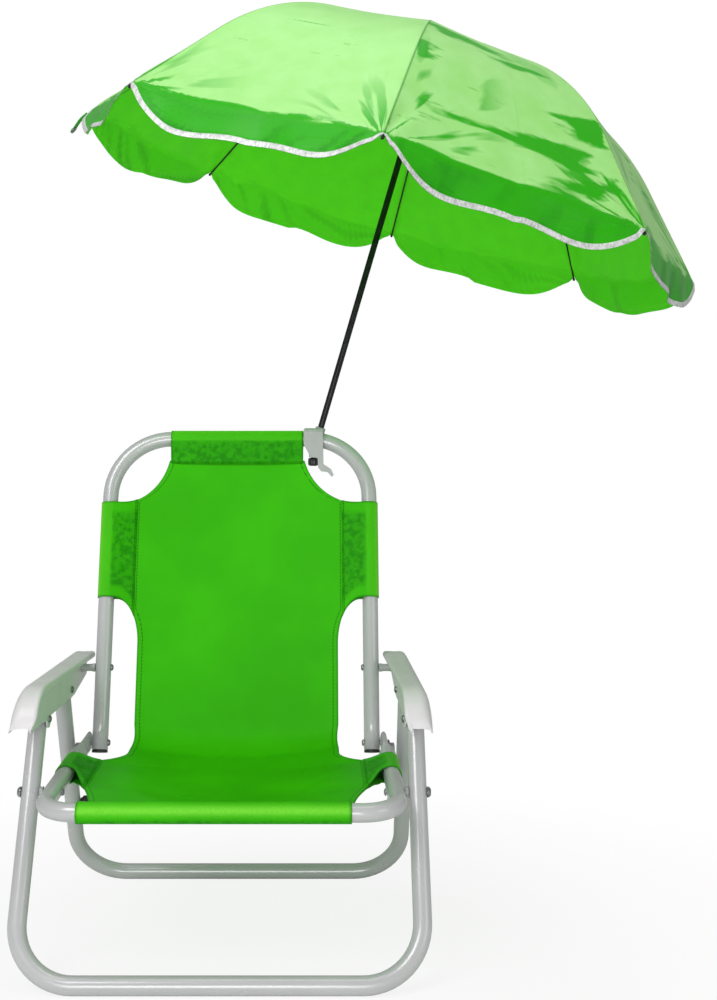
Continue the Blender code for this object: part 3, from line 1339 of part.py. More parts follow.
def build_ribs():
    """Build the ribs and their stretchers."""
    rod_end = RIB_LENGTH - RIB_TIP_LENGTH
    distances = [RIB_START, *rib_bend_distances(), rod_end]
    swell = [1.0] * len(distances)
    distances += [rod_end + RIB_TIP_SHOULDER, RIB_LENGTH]
    swell += [RIB_TIP_RADIUS / RIB_RADIUS, RIB_TIP_RADIUS / RIB_RADIUS * RIB_TIP_END_SHARE]
    path = [(rib_point(distance)[0], 0.0, rib_point(distance)[1]) for distance in distances]
    rib_mesh = bar_mesh("rib", path, RIB_RADIUS, ROD_SIDES, swell=swell)
    joint_outward, joint_upward = rib_point(STRETCHER_ON_RIB)
    slope = rib_slope(STRETCHER_ON_RIB)
    joint_outward -= STRETCHER_DROP * sin(slope)
    joint_upward -= STRETCHER_DROP * cos(slope)
    end = Vector((
        CROWN_PIVOT_RADIUS + joint_outward - RUNNER_PIVOT_RADIUS,
        0.0,
        joint_upward + RUNNER_DROP,
    ))
    direction = end.normalized()
    rod = [direction * STRETCHER_START, end]
    stretcher = bpy.data.objects.new("stretcher", bar_mesh("stretcher", rod, STRETCHER_RADIUS, ROD_SIDES))
    CUTTERS.objects.link(stretcher)
    work = bmesh.new()
    half = Vector((0.0, STRETCHER_EYE_THICKNESS / 2, 0.0))
    add_cylinder(work, end - half, end + half, STRETCHER_EYE_RADIUS)
    eye = add_guide("stretcher_eye", finished(work, "stretcher_eye"))
    combine(stretcher, eye, "UNION")
    stretcher_mesh = welded(baked(stretcher))
    bpy.data.objects.remove(eye, do_unlink=True)
    crown_lift = Matrix.Translation((CROWN_PIVOT_RADIUS, 0.0, CROWN_HEIGHT))
    runner_lift = Matrix.Translation(
        (RUNNER_PIVOT_RADIUS, STRETCHER_OFFSET, CROWN_HEIGHT - RUNNER_DROP)
    )
    for number in range(1, RIB_COUNT + 1):
        spin = MAST_FRAME @ Matrix.Rotation(rib_azimuth(number), 4, "Z")
        add_part(f"rib_{number}", rib_mesh, "black_steel", MAST_PIVOT, spin @ crown_lift)
        add_part(
            f"stretcher_{number}", stretcher_mesh, "black_steel", RUNNER_GUIDE, spin @ runner_lift
        )


def canopy_edge_direction(share):
    """Return the valance's direction, from along the ribs to hanging between."""
    at_rib = Vector((cos(RIB_END_SLOPE), -sin(RIB_END_SLOPE)))
    between = Vector((VALANCE_FLARE_SHARE, -1.0)).normalized()
    return (at_rib * (1 - share) + between * share).normalized()


def build_canopy():
    """Build the canopy: eight gores and a scalloped valance."""
    last = RIB_LENGTH - CANOPY_EDGE_SETBACK
    distances = [CANOPY_START, RIB_BEND_START / 2, *rib_bend_distances(), (RIB_BEND_END + last) / 2, last]
    dome_rows = len(distances) - 1
    columns = RIB_COUNT * CANOPY_COLUMNS_PER_GORE
    rows = dome_rows + VALANCE_ROWS
    gore = 2 * pi / RIB_COUNT

    def locate(column, row):
        index, step = divmod(column % columns, CANOPY_COLUMNS_PER_GORE)
        share = step / CANOPY_COLUMNS_PER_GORE
        distance = distances[min(row, dome_rows)]
        climb = (distance - CANOPY_START) / (last - CANOPY_START)
        radius, height = canopy_corner(distance)
        bow = sin(pi * share)
        height -= GORE_SAG * bow * climb
        if row > dome_rows:
            scallop = 1 - abs(2 * share - 1) ** SCALLOP_POWER
            depth = VALANCE_CORNER_DEPTH + (VALANCE_DEPTH - VALANCE_CORNER_DEPTH) * scallop
            depth *= (row - dome_rows) / VALANCE_ROWS
            direction = canopy_edge_direction(scallop)
            radius += depth * direction.x
            height += depth * direction.y
        first = rib_azimuth(1) + gore * index
        start = Vector((cos(first), sin(first), 0.0)) * radius
        end = Vector((cos(first + gore), sin(first + gore), 0.0)) * radius
        return start.lerp(end, share) + Vector((0.0, 0.0, CROWN_HEIGHT + height))

    mesh = sheet_mesh("canopy", columns, rows, locate)
    canopy = add_part("canopy", mesh, "pale_green_cloth", MAST_PIVOT, MAST_FRAME)
    thicken(canopy, CANOPY_THICKNESS, CANOPY_WALL_SIDE)


def build_closure_strap():
    """Build the closing strap that hangs from one rib's tip."""
    outward, upward = rib_point(RIB_LENGTH)
    work = bmesh.new()
    bmesh.ops.create_cube(work, size=1.0)
    size = Matrix.Diagonal((STRAP_LENGTH, STRAP_WIDTH, STRAP_THICKNESS, 1.0))
    bmesh.ops.transform(work, matrix=size, verts=work.verts)
    start = Vector((outward + STRAP_CLEARANCE, 0.0, upward))
    turned_down = Matrix.Rotation(STRAP_SLOPE, 4, "Y")
    matrix = Matrix.Translation(start) @ turned_down @ Matrix.Translation((STRAP_LENGTH / 2, 0.0, 0.0))
    bmesh.ops.transform(work, matrix=matrix, verts=work.verts)
    spin = MAST_FRAME @ Matrix.Rotation(rib_azimuth(STRAP_RIB), 4, "Z")
    crown_lift = Matrix.Translation((CROWN_PIVOT_RADIUS, 0.0, CROWN_HEIGHT))
    mesh = finished(work, "closure_strap")
    add_part("closure_strap", mesh, "green_cloth", MAST_PIVOT, spin @ crown_lift)


leg_loop(
    "front_leg",
    FRONT_BAR,
    FRONT_LEG_ANGLE,
    FRONT_BAR_TO_ARM_PIVOT,
    FRONT_LEG_PIVOT,
    FRONT_BAR_TILT,
    [ARM_FRONT_PIVOT, SEAT_FRONT_PIVOT],
)
leg_loop(
    "rear_leg",
    REAR_BAR,
    REAR_LEG_ANGLE,
    REAR_BAR_TO_ARM_PIVOT,
    REAR_LEG_PIVOT,
    REAR_BAR_TILT,
    [ARM_REAR_PIVOT],
)
build_back_frame()
build_seat_frame()
build_back_plugs()
for each_side, each_letter in SIDES:
    build_seat_fixings(each_side, each_letter)
    build_arm_fixings(each_side, each_letter)
    build_link(each_side, each_letter)
    build_armrest(each_side, each_letter)
build_back_sling()
build_seat_sling()
build_clamp_body()
build_clamp_screw()
build_clamp_pad()
build_mast_socket()
build_mast()
build_ribs()
build_canopy()
build_closure_strap()
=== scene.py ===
"""Looks of a child's folding armchair with a clamp-on umbrella, on its CAD frame.

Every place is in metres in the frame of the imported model: the floor is Z = 0,
the sitter faces -Y, and the origin is under the middle of the front floor bar.
Side-view places are (depth along +Y, height above the floor bars' centres).
"""

from __future__ import annotations

import json
import logging
from collections.abc import Callable, Sequence
from dataclasses import dataclass, field
from enum import Enum
from math import acos, atan2, cos, exp, hypot, pi, radians, sin, sqrt, tan

import bmesh
import bpy
from bmesh.types import BMEdge, BMesh, BMFace, BMVert
from mathutils import Euler, Matrix, Vector
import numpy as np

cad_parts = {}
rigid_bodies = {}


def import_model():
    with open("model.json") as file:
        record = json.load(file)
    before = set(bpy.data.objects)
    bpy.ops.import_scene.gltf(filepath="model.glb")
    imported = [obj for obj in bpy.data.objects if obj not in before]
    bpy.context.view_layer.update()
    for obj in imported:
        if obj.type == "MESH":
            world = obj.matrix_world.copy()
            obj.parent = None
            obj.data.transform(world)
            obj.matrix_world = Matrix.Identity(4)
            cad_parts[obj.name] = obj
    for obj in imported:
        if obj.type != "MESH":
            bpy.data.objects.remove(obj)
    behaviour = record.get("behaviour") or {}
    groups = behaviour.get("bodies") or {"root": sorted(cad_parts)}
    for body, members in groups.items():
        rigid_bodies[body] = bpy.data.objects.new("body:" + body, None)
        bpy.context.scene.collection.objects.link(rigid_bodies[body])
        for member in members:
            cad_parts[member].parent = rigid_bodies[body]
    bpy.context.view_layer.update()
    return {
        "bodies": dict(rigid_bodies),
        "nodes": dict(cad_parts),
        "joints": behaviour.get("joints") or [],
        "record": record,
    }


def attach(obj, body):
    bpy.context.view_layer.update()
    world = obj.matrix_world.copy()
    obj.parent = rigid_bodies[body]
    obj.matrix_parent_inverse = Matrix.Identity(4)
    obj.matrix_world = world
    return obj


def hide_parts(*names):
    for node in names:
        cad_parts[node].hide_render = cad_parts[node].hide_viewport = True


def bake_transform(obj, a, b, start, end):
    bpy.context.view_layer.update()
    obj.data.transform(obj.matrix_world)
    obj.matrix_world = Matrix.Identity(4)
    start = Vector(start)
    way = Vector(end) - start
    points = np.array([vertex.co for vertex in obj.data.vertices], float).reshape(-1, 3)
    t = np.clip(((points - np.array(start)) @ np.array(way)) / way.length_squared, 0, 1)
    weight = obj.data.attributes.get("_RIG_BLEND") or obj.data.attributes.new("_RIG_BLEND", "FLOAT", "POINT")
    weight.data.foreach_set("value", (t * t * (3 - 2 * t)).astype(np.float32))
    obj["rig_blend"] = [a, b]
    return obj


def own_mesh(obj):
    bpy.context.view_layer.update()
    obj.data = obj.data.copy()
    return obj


LOG = logging.getLogger("umbrella_chair")
MERGE_DISTANCE = 0.00001

# Left and right as seen from the front: the sign of X, the letter and the word
SIDES = ((-1, "l", "left"), (1, "r", "right"))

# Turned pieces keep edges sharp over this many degrees
LATHE_ANGLE = 50.0

Place = tuple[float, float]
Colour = tuple[float, float, float]

# Frame sizes, shared by several pieces
TUBE_RADIUS = 0.0095
TUBE_WALL = 0.0010
TOUCH_GAP = 0.0003
FACE_REACH = TUBE_RADIUS + TOUCH_GAP
BAR_HEIGHT = TUBE_RADIUS * cos(pi / 12)
FRONT_LEG_ANGLE = pi / 2 - radians(28.14)
REAR_LEG_ANGLE = pi / 2 + radians(25.09)
BACK_ANGLE = pi / 2 - radians(15.5)
LEG_HALF_WIDTH = 0.202
BACK_HALF_WIDTH = 0.1632
SEAT_HALF_WIDTH = 0.179
FRONT_LEG_REACH = 0.26866
REAR_LEG_REACH = 0.27351
SEAT_PIVOT_REACH = 0.18975
BACK_LENGTH = 0.3902
BACK_PIVOT_REACH = 0.0083
BACK_BOLT_REACH = 0.0985
SEAT_FRONT_OVERHANG = 0.0706
SEAT_REAR_OVERHANG = 0.009

# Numbers stored on the cloths' points for their materials
CANOPY_NUMBERS = ("seam", "drop", "turn", "away", "gore", "side", "slack")
SLING_NUMBERS = ("hem", "seam", "band", "painted_highlight")


def side_point(spot: Place, across: float = 0.0) -> Vector:
    """Turn a side-view place, and a distance along +X, into a point."""
    return Vector((across, spot[0], spot[1] + BAR_HEIGHT))


def along(start: Place, angle: float, distance: float) -> Place:
    """Return the side-view place at a distance and an angle above +Y."""
    return (start[0] + distance * cos(angle), start[1] + distance * sin(angle))


FRONT_BAR: Place = (0.0, 0.0)
REAR_BAR: Place = (0.371, 0.0)
BACK_FOOT: Place = (0.2898, 0.170)
ARM_FRONT_PIVOT = along(FRONT_BAR, FRONT_LEG_ANGLE, FRONT_LEG_REACH)
SEAT_FRONT_PIVOT = along(FRONT_BAR, FRONT_LEG_ANGLE, SEAT_PIVOT_REACH)
ARM_REAR_PIVOT = along(REAR_BAR, REAR_LEG_ANGLE, REAR_LEG_REACH)
BACK_TOP = along(BACK_FOOT, BACK_ANGLE, BACK_LENGTH)
SEAT_REAR_PIVOT = along(BACK_FOOT, BACK_ANGLE, BACK_PIVOT_REACH)
ARM_BACK_PIVOT = along(BACK_FOOT, BACK_ANGLE, BACK_BOLT_REACH)
SEAT_LINE = (SEAT_REAR_PIVOT[0] - SEAT_FRONT_PIVOT[0], SEAT_REAR_PIVOT[1] - SEAT_FRONT_PIVOT[1])
SEAT_ANGLE = atan2(SEAT_LINE[1], SEAT_LINE[0])
SEAT_FRONT_BAR = along(SEAT_FRONT_PIVOT, SEAT_ANGLE, -SEAT_FRONT_OVERHANG)
SEAT_HINGE = SEAT_FRONT_OVERHANG + hypot(*SEAT_LINE)
SEAT_RAIL_END = SEAT_HINGE + SEAT_REAR_OVERHANG


def back_point(distance: float, across: float = 0.0, behind: float = 0.0) -> Vector:
    """Return a point of the back: up from its foot, across, and behind its plane."""
    spot = along(along(BACK_FOOT, BACK_ANGLE, distance), BACK_ANGLE - pi / 2, behind)
    return side_point(spot, across)


def seat_point(distance: float, across: float = 0.0, below: float = 0.0) -> Vector:
    """Return a point of the seat: back from its front bar, across, and below."""
    spot = along(along(SEAT_FRONT_BAR, SEAT_ANGLE, distance), SEAT_ANGLE - pi / 2, below)
    return side_point(spot, across)


def clamp(value: float) -> float:
    """Hold a value between 0 and 1."""
    return min(max(value, 0.0), 1.0)


def smooth_step(value: float) -> float:
    """Ease a value from 0 to 1 with flat ends."""
    value = clamp(value)
    return value * value * (3 - 2 * value)


# Shader maths


@dataclass(frozen=True, eq=False)
class Signal:
    """A socket of a node tree, so that shader maths reads as Python."""

    shop: NodeShop
    socket: bpy.types.NodeSocket

    def math(self, operation: str, *operands: Signal | float) -> Signal:
        """Add a Math node and return its result."""
        return self.shop.add("Math", 0, dict(enumerate(operands)), operation=operation)

    def __add__(self, other: Signal | float) -> Signal:
        """Return self + other."""
        return self.math("ADD", self, other)

    def __mul__(self, other: Signal | float) -> Signal:
        """Return self * other."""
        return self.math("MULTIPLY", self, other)

    def __sub__(self, other: Signal | float) -> Signal:
        """Return self - other."""
        return self.math("SUBTRACT", self, other)

    def __rsub__(self, other: Signal | float) -> Signal:
        """Return other - self."""
        return self.math("SUBTRACT", other, self)

    def __truediv__(self, other: Signal | float) -> Signal:
        """Return self / other."""
        return self.math("DIVIDE", self, other)

    def __lt__(self, other: Signal | float) -> Signal:
        """Return 1 where self is less than other."""
        return self.math("LESS_THAN", self, other)

    def clamped(self) -> Signal:
        """Return self held between 0 and 1."""
        return self.shop.add("Clamp", 0, {"Value": self})

    def ramp(self, low: float, gain: float) -> Signal:
        """Return the gain times what is over low, held between 0 and 1."""
        return ((self - low) * gain).clamped()


class NodeShop:
    """Builds the node tree of one material or world."""

    def __init__(self, block: bpy.types.Material | bpy.types.World) -> None:
        """Start the tree with only its output node."""
        block.use_nodes = True
        self.block = block
        self.tree = block.node_tree
        self.tree.nodes.clear()
        self.output = self.tree.nodes.new("ShaderNodeOutput" + type(block).__name__)

    def add(self, kind: str, output: int | str = 0, inputs: dict | None = None, **settings: object) -> Signal:
        """Add a node.

        Args:
            kind: the node's type, without its prefix.
            output: the socket to return, by name or number.
            inputs: values or links of its sockets, by name or number.
            settings: its properties.

        Returns:
            The chosen output.
        """
        made = self.tree.nodes.new("ShaderNode" + kind)
        for key, value in settings.items():
            setattr(made, key, value)
        for key, value in (inputs or {}).items():
            socket = made.inputs[key]
            if isinstance(value, Signal):
                self.tree.links.new(value.socket, socket)
            elif isinstance(value, tuple):
                socket.default_value = (*value, 1.0)
            else:
                socket.default_value = value
        return Signal(self, made.outputs[output])

    def attribute(self, name: str) -> Signal:
        """Return a number that is stored on the mesh's points."""
        return self.add("Attribute", "Fac", attribute_name=name)

    def cloth_place(self) -> tuple[Signal, Signal]:
        """Return the cloth's own coordinates in metres: across and along."""
        place = {0: self.add("UVMap", uv_map="cloth")}
        return self.add("SeparateXYZ", 0, place), self.add("SeparateXYZ", 1, place)

    def weave(self, yarn: float) -> Signal:
        """Return the height of a plain weave."""
        across, length = (part * (2 * pi / yarn) for part in self.cloth_place())
        return across.math("SINE", across) * length.math("SINE", length)

    def noise(self, scale: float, detail: float = 3.0, place: Sequence[Signal] = ()) -> Signal:
        """Return fractal noise of the object's own place, or of a place made of signals."""
        vector = self.add("TexCoord", "Object")
        if place:
            vector = self.add("CombineXYZ", 0, dict(enumerate(place)))
        return self.add("TexNoise", "Fac", {"Scale": scale, "Detail": detail, "Vector": vector})

    def mix(self, factor: Signal | float, low: Signal | Colour, high: Signal | Colour) -> Signal:
        """Mix two colours."""
        return self.add("Mix", 2, {0: factor, 6: low, 7: high}, data_type="RGBA")

    def bump(self, height: Signal, distance: float, strength: float) -> Signal:
        """Turn a height into a normal."""
        return self.add("Bump", 0, {"Height": height, "Distance": distance, "Strength": strength})

    def close(self, shader: Signal) -> bpy.types.Material:
        """Link the last shader to the output, and return the material."""
        self.tree.links.new(shader.socket, self.output.inputs[0])
        return self.block

    def surface(self, **inputs: object) -> bpy.types.Material:
        """Close the material with a Principled shader, whose sockets are named with underscores."""
        sockets = {key.replace("_", " "): value for key, value in inputs.items()}
        return self.close(self.add("BsdfPrincipled", 0, sockets))


# Finishes


@dataclass(frozen=True)
class PaintedTube:
    """White enamel on steel tube, with a faint orange peel and a few scuffs."""

    colour: Colour = (0.66, 0.66, 0.665)
    shade: Colour = (0.57, 0.57, 0.58)
    metallic: float = 0.12
    roughness: float = 0.21

    def material(self, shop: NodeShop) -> bpy.types.Material:
        """Build the enamel."""
        cloud = shop.noise(14.0, 4.0)
        scuffs = shop.noise(55.0, 8.0).ramp(0.66, 9.0)
        colour = shop.mix(cloud.ramp(0.40, 1.2), self.shade, self.colour)
        return shop.surface(
            Base_Color=shop.mix(scuffs * 0.25, colour, self.shade),
            Metallic=self.metallic,
            Roughness=scuffs * 0.12 + cloud * 0.08 + self.roughness,
            Coat_Weight=0.35,
            Coat_Roughness=0.10,
            Normal=shop.bump(shop.noise(900.0, 1.0), 0.00004, 0.4),
        )


@dataclass(frozen=True)
class MouldedPlastic:
    """Moulded plastic with a fine grain and slight colour clouds."""

    colour: Colour
    shade: Colour
    roughness: float
    grain: float = 0.00005

    def material(self, shop: NodeShop) -> bpy.types.Material:
        """Build the plastic."""
        cloud = shop.noise(30.0, 5.0)
        return shop.surface(
            Base_Color=shop.mix(cloud.ramp(0.3, 2.0), self.shade, self.colour),
            Roughness=cloud * 0.12 + self.roughness,
            Specular_IOR_Level=0.5,
            Normal=shop.bump(shop.noise(1600.0, 2.0), self.grain, 0.6),
        )


@dataclass(frozen=True)
class PlatedSteel:
    """Drawn or plated steel with fine scratches along its length."""

    colour: Colour
    dark: Colour
    metallic: float
    roughness: float

    def material(self, shop: NodeShop) -> bpy.types.Material:
        """Build the steel."""
        cloud = shop.noise(120.0, 6.0)
        return shop.surface(
            Base_Color=shop.mix(cloud.ramp(0.4, 2.5), self.dark, self.colour),
            Metallic=self.metallic,
            Roughness=cloud * 0.2 + self.roughness,
            Normal=shop.bump(shop.noise(700.0, 2.0), 0.00003, 0.5),
        )


@dataclass(frozen=True)
class SlingCloth:
    """Coated plain-weave cloth with hems and rows of stitches, a painted highlight over the tops of the
    sleeves and painted shade on their flat parts and undersides.
    """

    colour: Colour = (0.055, 0.600, 0.0020)
    deep: Colour = (0.042, 0.500, 0.0015)
    # Painted shade of the sleeves' flat parts and undersides; the hems take it too.
    band: Colour = (0.016, 0.295, 0.0012)
    # The painted highlight over the tops of the sleeves.
    rubbed: Colour = (0.260, 0.860, 0.0600)
    thread: Colour = (0.012, 0.220, 0.0020)
    yarn: float = 0.0011
    stitch: float = 0.0042
    thread_half: float = 0.0006
    dash: float = 0.68

    def material(self, shop: NodeShop) -> bpy.types.Material:
        """Build the cloth."""
        across, length = shop.cloth_place()
        slub = shop.noise(420.0, 3.0)
        seam, band = shop.attribute("seam"), shop.attribute("band")
        place = length / self.stitch + across / self.stitch
        dashes = place.math("FRACT", place) < self.dash
        stitches = (seam.math("ABSOLUTE", seam) < self.thread_half) * dashes
        mottle = shop.noise(150.0, 6.0).ramp(0.44, 6.0)
        base = shop.mix(shop.noise(9.0, 4.0).ramp(0.36, 2.6), self.deep, self.colour)
        # Painted highlight on the upper fronts of the sleeves, where light falls on the round tubes.
        base = shop.mix((shop.attribute("painted_highlight") * (slub * 0.5 + 0.4)).clamped(), base, self.rubbed)
        # Painted shade, mottled, on the sleeves' flat parts and undersides.
        base = shop.mix(band * (mottle * 0.55 + 0.45), base, self.band)
        # The hems take the same dark green as a dark line along the cloth's edges.
        base = shop.mix(shop.attribute("hem") * 0.75, base, self.band)
        base = shop.mix(stitches, base, self.thread)
        pucker = shop.noise(170.0, 3.0) * band
        height = shop.weave(self.yarn) * 0.35 + slub * 0.3 + stitches * 0.9 + pucker * 2.2
        return shop.surface(
            Base_Color=base,
            Roughness=slub * 0.16 + 0.42,
            Specular_IOR_Level=0.10,
            Normal=shop.bump(height, 0.00022, 0.55),
        )


@dataclass(frozen=True)
class CanopyCloth:
    """Thin satin cloth with a fine weave, soft folds, creases and seam lines, with a painted sheen, painted
    shade and, on the lining, painted light shining through.

    Of the stored numbers, "turn" and "away" place a point about the nearest
    rib tip, "drop" tells how far it hangs below the fold of the valance, and
    "slack" how loose its gore is.
    """

    colour: Colour
    shade: Colour
    deep: Colour
    dark: Colour
    roughness: float
    # Emission that paints light shining through the cloth.
    glow: float = 0.0
    streaks: float = 1.0
    # How strongly the painted shade shows where the painted sheen stops.
    marks: float = 1.0
    yarn: float = 0.0009

    def _streaks(self, shop: NodeShop) -> Signal:
        """Return the sharp folds that run out from the rib tips, which take a bump and painted shade."""
        away = shop.attribute("away")
        polar = (shop.attribute("turn") * 3.4, away * 9.0, shop.attribute("gore"))
        near = (1.25 - away / (shop.attribute("slack") * 0.24 + 0.06)).clamped() * (away / 0.010).clamped()
        fans = shop.noise(1.0, 2.0, polar).ramp(0.54, 16.0)
        return fans * near * (shop.attribute("side") * 3.0).clamped() * self.streaks

    def material(self, shop: NodeShop) -> bpy.types.Material:
        """Build the cloth."""
        across, length = shop.cloth_place()
        drop, slack = shop.attribute("drop"), shop.attribute("slack")
        fine = shop.noise(38.0, 6.0)
        seam_line = (1.0 - shop.attribute("seam") / 0.0018).clamped()
        streaks = self._streaks(shop)
        ripple = shop.noise(1.0, 4.0, (across * 15.0, length * 42.0))
        hanging = shop.noise(1.0, 3.0, (across * 34.0, length * 9.0))
        sheen = shop.noise(1.0, 5.0, (across * 8.0, length * 22.0, slack))
        dashes = ripple.ramp(0.66, 18.0) * shop.noise(7.0, 5.0).ramp(0.46, 9.0)
        patches = (sheen + slack * 0.15).ramp(0.68, 20.0)
        # Painted shade on the valance, which hangs steeper and catches less light.
        low = ((drop + 0.10 + (ripple - 0.5) * 1.1) * 10.0).clamped()
        # Painted shade where the painted sheen stops: the valance, the creases from the rib tips, ripple
        # dashes and patches.
        marks = (low + streaks + (dashes + patches) * self.streaks).clamped()
        # Painted shade in the valance's hanging folds.
        folds = hanging.ramp(0.50, 5.0) * (drop * 5.0).clamped()
        # Painted sheen: the pale colour and shade stand for light that the satin top reflects.
        base = shop.mix(fine.ramp(0.25, 2.0), self.shade, self.colour)
        # The painted shade shows the cloth's own deep green.
        base = shop.mix(marks * self.marks, base, self.deep)
        base = shop.mix(folds * 0.7, base, self.dark)
        base = shop.mix(seam_line * 0.8, base, self.dark)
        height = shop.weave(self.yarn) * 0.15 + fine * 0.6 + streaks * 3.0 + dashes * 1.5 + seam_line * 2.0
        return shop.surface(
            Base_Color=base,
            Roughness=fine * 0.22 + self.roughness,
            Specular_IOR_Level=0.2,
            # Emission paints light shining through the lining; the top has none.
            Emission_Color=self.colour,
            Emission_Strength=self.glow,
            Normal=shop.bump(height, 0.00025, 0.6),
        )


@dataclass(frozen=True)
class SilverTape:
    """Ribbed silver tape that binds the canopy's edge."""

    colour: Colour = (0.86, 0.87, 0.86)
    dark: Colour = (0.50, 0.53, 0.50)
    rib: float = 0.0024

    def material(self, shop: NodeShop) -> bpy.types.Material:
        """Build the tape."""
        turns = shop.cloth_place()[0] * (2 * pi / self.rib)
        ribs = turns.math("SINE", turns)
        blot = shop.noise(230.0, 5.0)
        tone = ((blot - 0.30) * 3.2 + ribs * 0.10).clamped()
        return shop.surface(
            Base_Color=shop.mix(tone, self.dark, self.colour),
            Metallic=0.15,
            Roughness=blot * 0.3 + 0.25,
            Normal=shop.bump(ribs * 0.5 + blot, 0.0004, 0.6),
        )


class Finish(Enum):
    """The finishes, by the record's material slot and the maker of each."""

    TUBE = ("painted_tube", PaintedTube())
    WHITE = ("white_plastic", MouldedPlastic((0.82, 0.80, 0.81), (0.73, 0.71, 0.72), 0.28))
    GREY = ("grey_plastic", MouldedPlastic((0.52, 0.53, 0.53), (0.42, 0.43, 0.43), 0.30))
    BLACK = ("black_plastic", MouldedPlastic((0.022, 0.022, 0.024), (0.012, 0.012, 0.013), 0.28))
    RUBBER = ("black_rubber", MouldedPlastic((0.026, 0.026, 0.026), (0.014, 0.014, 0.014), 0.56, 0.0001))
    SHAFT = ("black_steel", PlatedSteel((0.030, 0.031, 0.034), (0.014, 0.014, 0.016), 0.55, 0.20))
    STEEL = ("steel", PlatedSteel((0.50, 0.50, 0.52), (0.24, 0.24, 0.26), 0.9, 0.24))
    SLING = ("green_sling", SlingCloth())
    # Pale colour and shade are painted sheen; deep is the cloth's own green; dark is painted shade in folds,
    # and the seam lines' own dark.
    CANOPY = (
        "green_canopy",
        CanopyCloth((0.42, 0.86, 0.28), (0.34, 0.80, 0.20), (0.026, 0.45, 0.002), (0.008, 0.26, 0.001), 0.23),
    )
    # The inner side: a brighter green with emission, painted light shining through the cloth.
    LINING = (
        "green_canopy",
        CanopyCloth(
            colour=(0.11, 0.80, 0.010),
            shade=(0.09, 0.72, 0.008),
            deep=(0.07, 0.62, 0.006),
            dark=(0.03, 0.40, 0.002),
            roughness=0.49,
            glow=0.1,
            streaks=0,
            marks=0.5,
        ),
    )
    TAPE = ("green_canopy", SilverTape())

    @property
    def slot(self) -> str:
        """The record's material slot."""
        return self.value[0]

    def material(self) -> bpy.types.Material:
        """Return the finish's material, built once."""
        name = "finish_" + self.name.lower()
        found = bpy.data.materials.get(name)
        return found or self.value[1].material(NodeShop(bpy.data.materials.new(name)))


# Mesh tools


def facing(point: Vector, direction: Vector) -> Matrix:
    """Return a matrix that puts Z along a direction at a point."""
    return Matrix.Translation(point) @ Vector(direction).to_track_quat("Z", "Y").to_matrix().to_4x4()


def grow(work: BMesh, rim: Sequence[BMEdge], matrix: Matrix) -> list[BMEdge]:
    """Extrude a rim of open edges, move the new rim by a matrix and return it."""
    made = bmesh.ops.extrude_edge_only(work, edges=list(rim))["geom"]
    verts = {item for item in made if isinstance(item, BMVert)}
    bmesh.ops.transform(work, matrix=matrix, verts=list(verts))
    return [item for item in made if isinstance(item, BMEdge) and all(v in verts for v in item.verts)]


def run(work: BMesh, rim: Sequence[BMEdge], step: Vector, steps: int) -> list[BMEdge]:
    """Extrude a rim straight on in equal steps."""
    for _ in range(steps):
        rim = grow(work, rim, Matrix.Translation(step / steps))
    return list(rim)


def bent_tube(
    corners: Sequence[Vector],
    bend: float,
    piece: float,
    sides: int = 32,
    steps: int = 14,
) -> BMesh:
    """Sweep an open tube through corners with round bends.

    Args:
        corners: the corners of its centre line.
        bend: the radius of its bends.
        piece: how long a straight step is.
        sides: how many sides its section has.
        steps: how many steps each bend has.

    Returns:
        The tube's outer surface.
    """
    work = bmesh.new()
    matrix = facing(corners[0], corners[1] - corners[0])
    bmesh.ops.create_circle(work, segments=sides, radius=TUBE_RADIUS, matrix=matrix)
    rim = list(work.edges)
    place = corners[0]
    for before, corner, after in zip(corners, corners[1:], corners[2:]):
        incoming, outgoing = (corner - before).normalized(), (after - corner).normalized()
        turn = incoming.angle(outgoing)
        start = corner - incoming * bend * tan(turn / 2)
        rim = run(work, rim, start - place, max(1, round((start - place).length / piece)))
        inward = (outgoing - incoming * incoming.dot(outgoing)).normalized()
        centre = Matrix.Translation(start + inward * bend)
        spin = centre @ Matrix.Rotation(turn / steps, 4, incoming.cross(outgoing)) @ centre.inverted()
        for _ in range(steps):
            rim = grow(work, rim, spin)
        place = corner + outgoing * bend * tan(turn / 2)
    run(work, rim, corners[-1] - place, max(1, round((corners[-1] - place).length / piece)))
    bmesh.ops.recalc_face_normals(work, faces=work.faces)
    return work


def turned(outline: Sequence[Place], matrix: Matrix, closed: bool = False, sides: int = 32) -> BMesh:
    """Turn a profile about an axis, as on a lathe.

    Args:
        outline: (radius, height) points.
        matrix: where the axis's foot and direction lie.
        closed: whether the profile is a ring.
        sides: how many steps the turn has.

    Returns:
        The turned shape.
    """
    work = bmesh.new()
    verts = [work.verts.new((radius, 0.0, height)) for radius, height in outline]
    edges = [work.edges.new(pair) for pair in zip(verts, verts[1:])]
    if closed:
        edges.append(work.edges.new((verts[-1], verts[0])))
    turn = {"cent": (0, 0, 0), "axis": (0, 0, 1), "angle": 2 * pi, "steps": sides, "use_merge": True}
    bmesh.ops.spin(work, geom=[*verts, *edges], **turn)
    bmesh.ops.remove_doubles(work, verts=work.verts, dist=MERGE_DISTANCE)
    bmesh.ops.transform(work, matrix=matrix, verts=work.verts)
    bmesh.ops.recalc_face_normals(work, faces=work.faces)
    return work


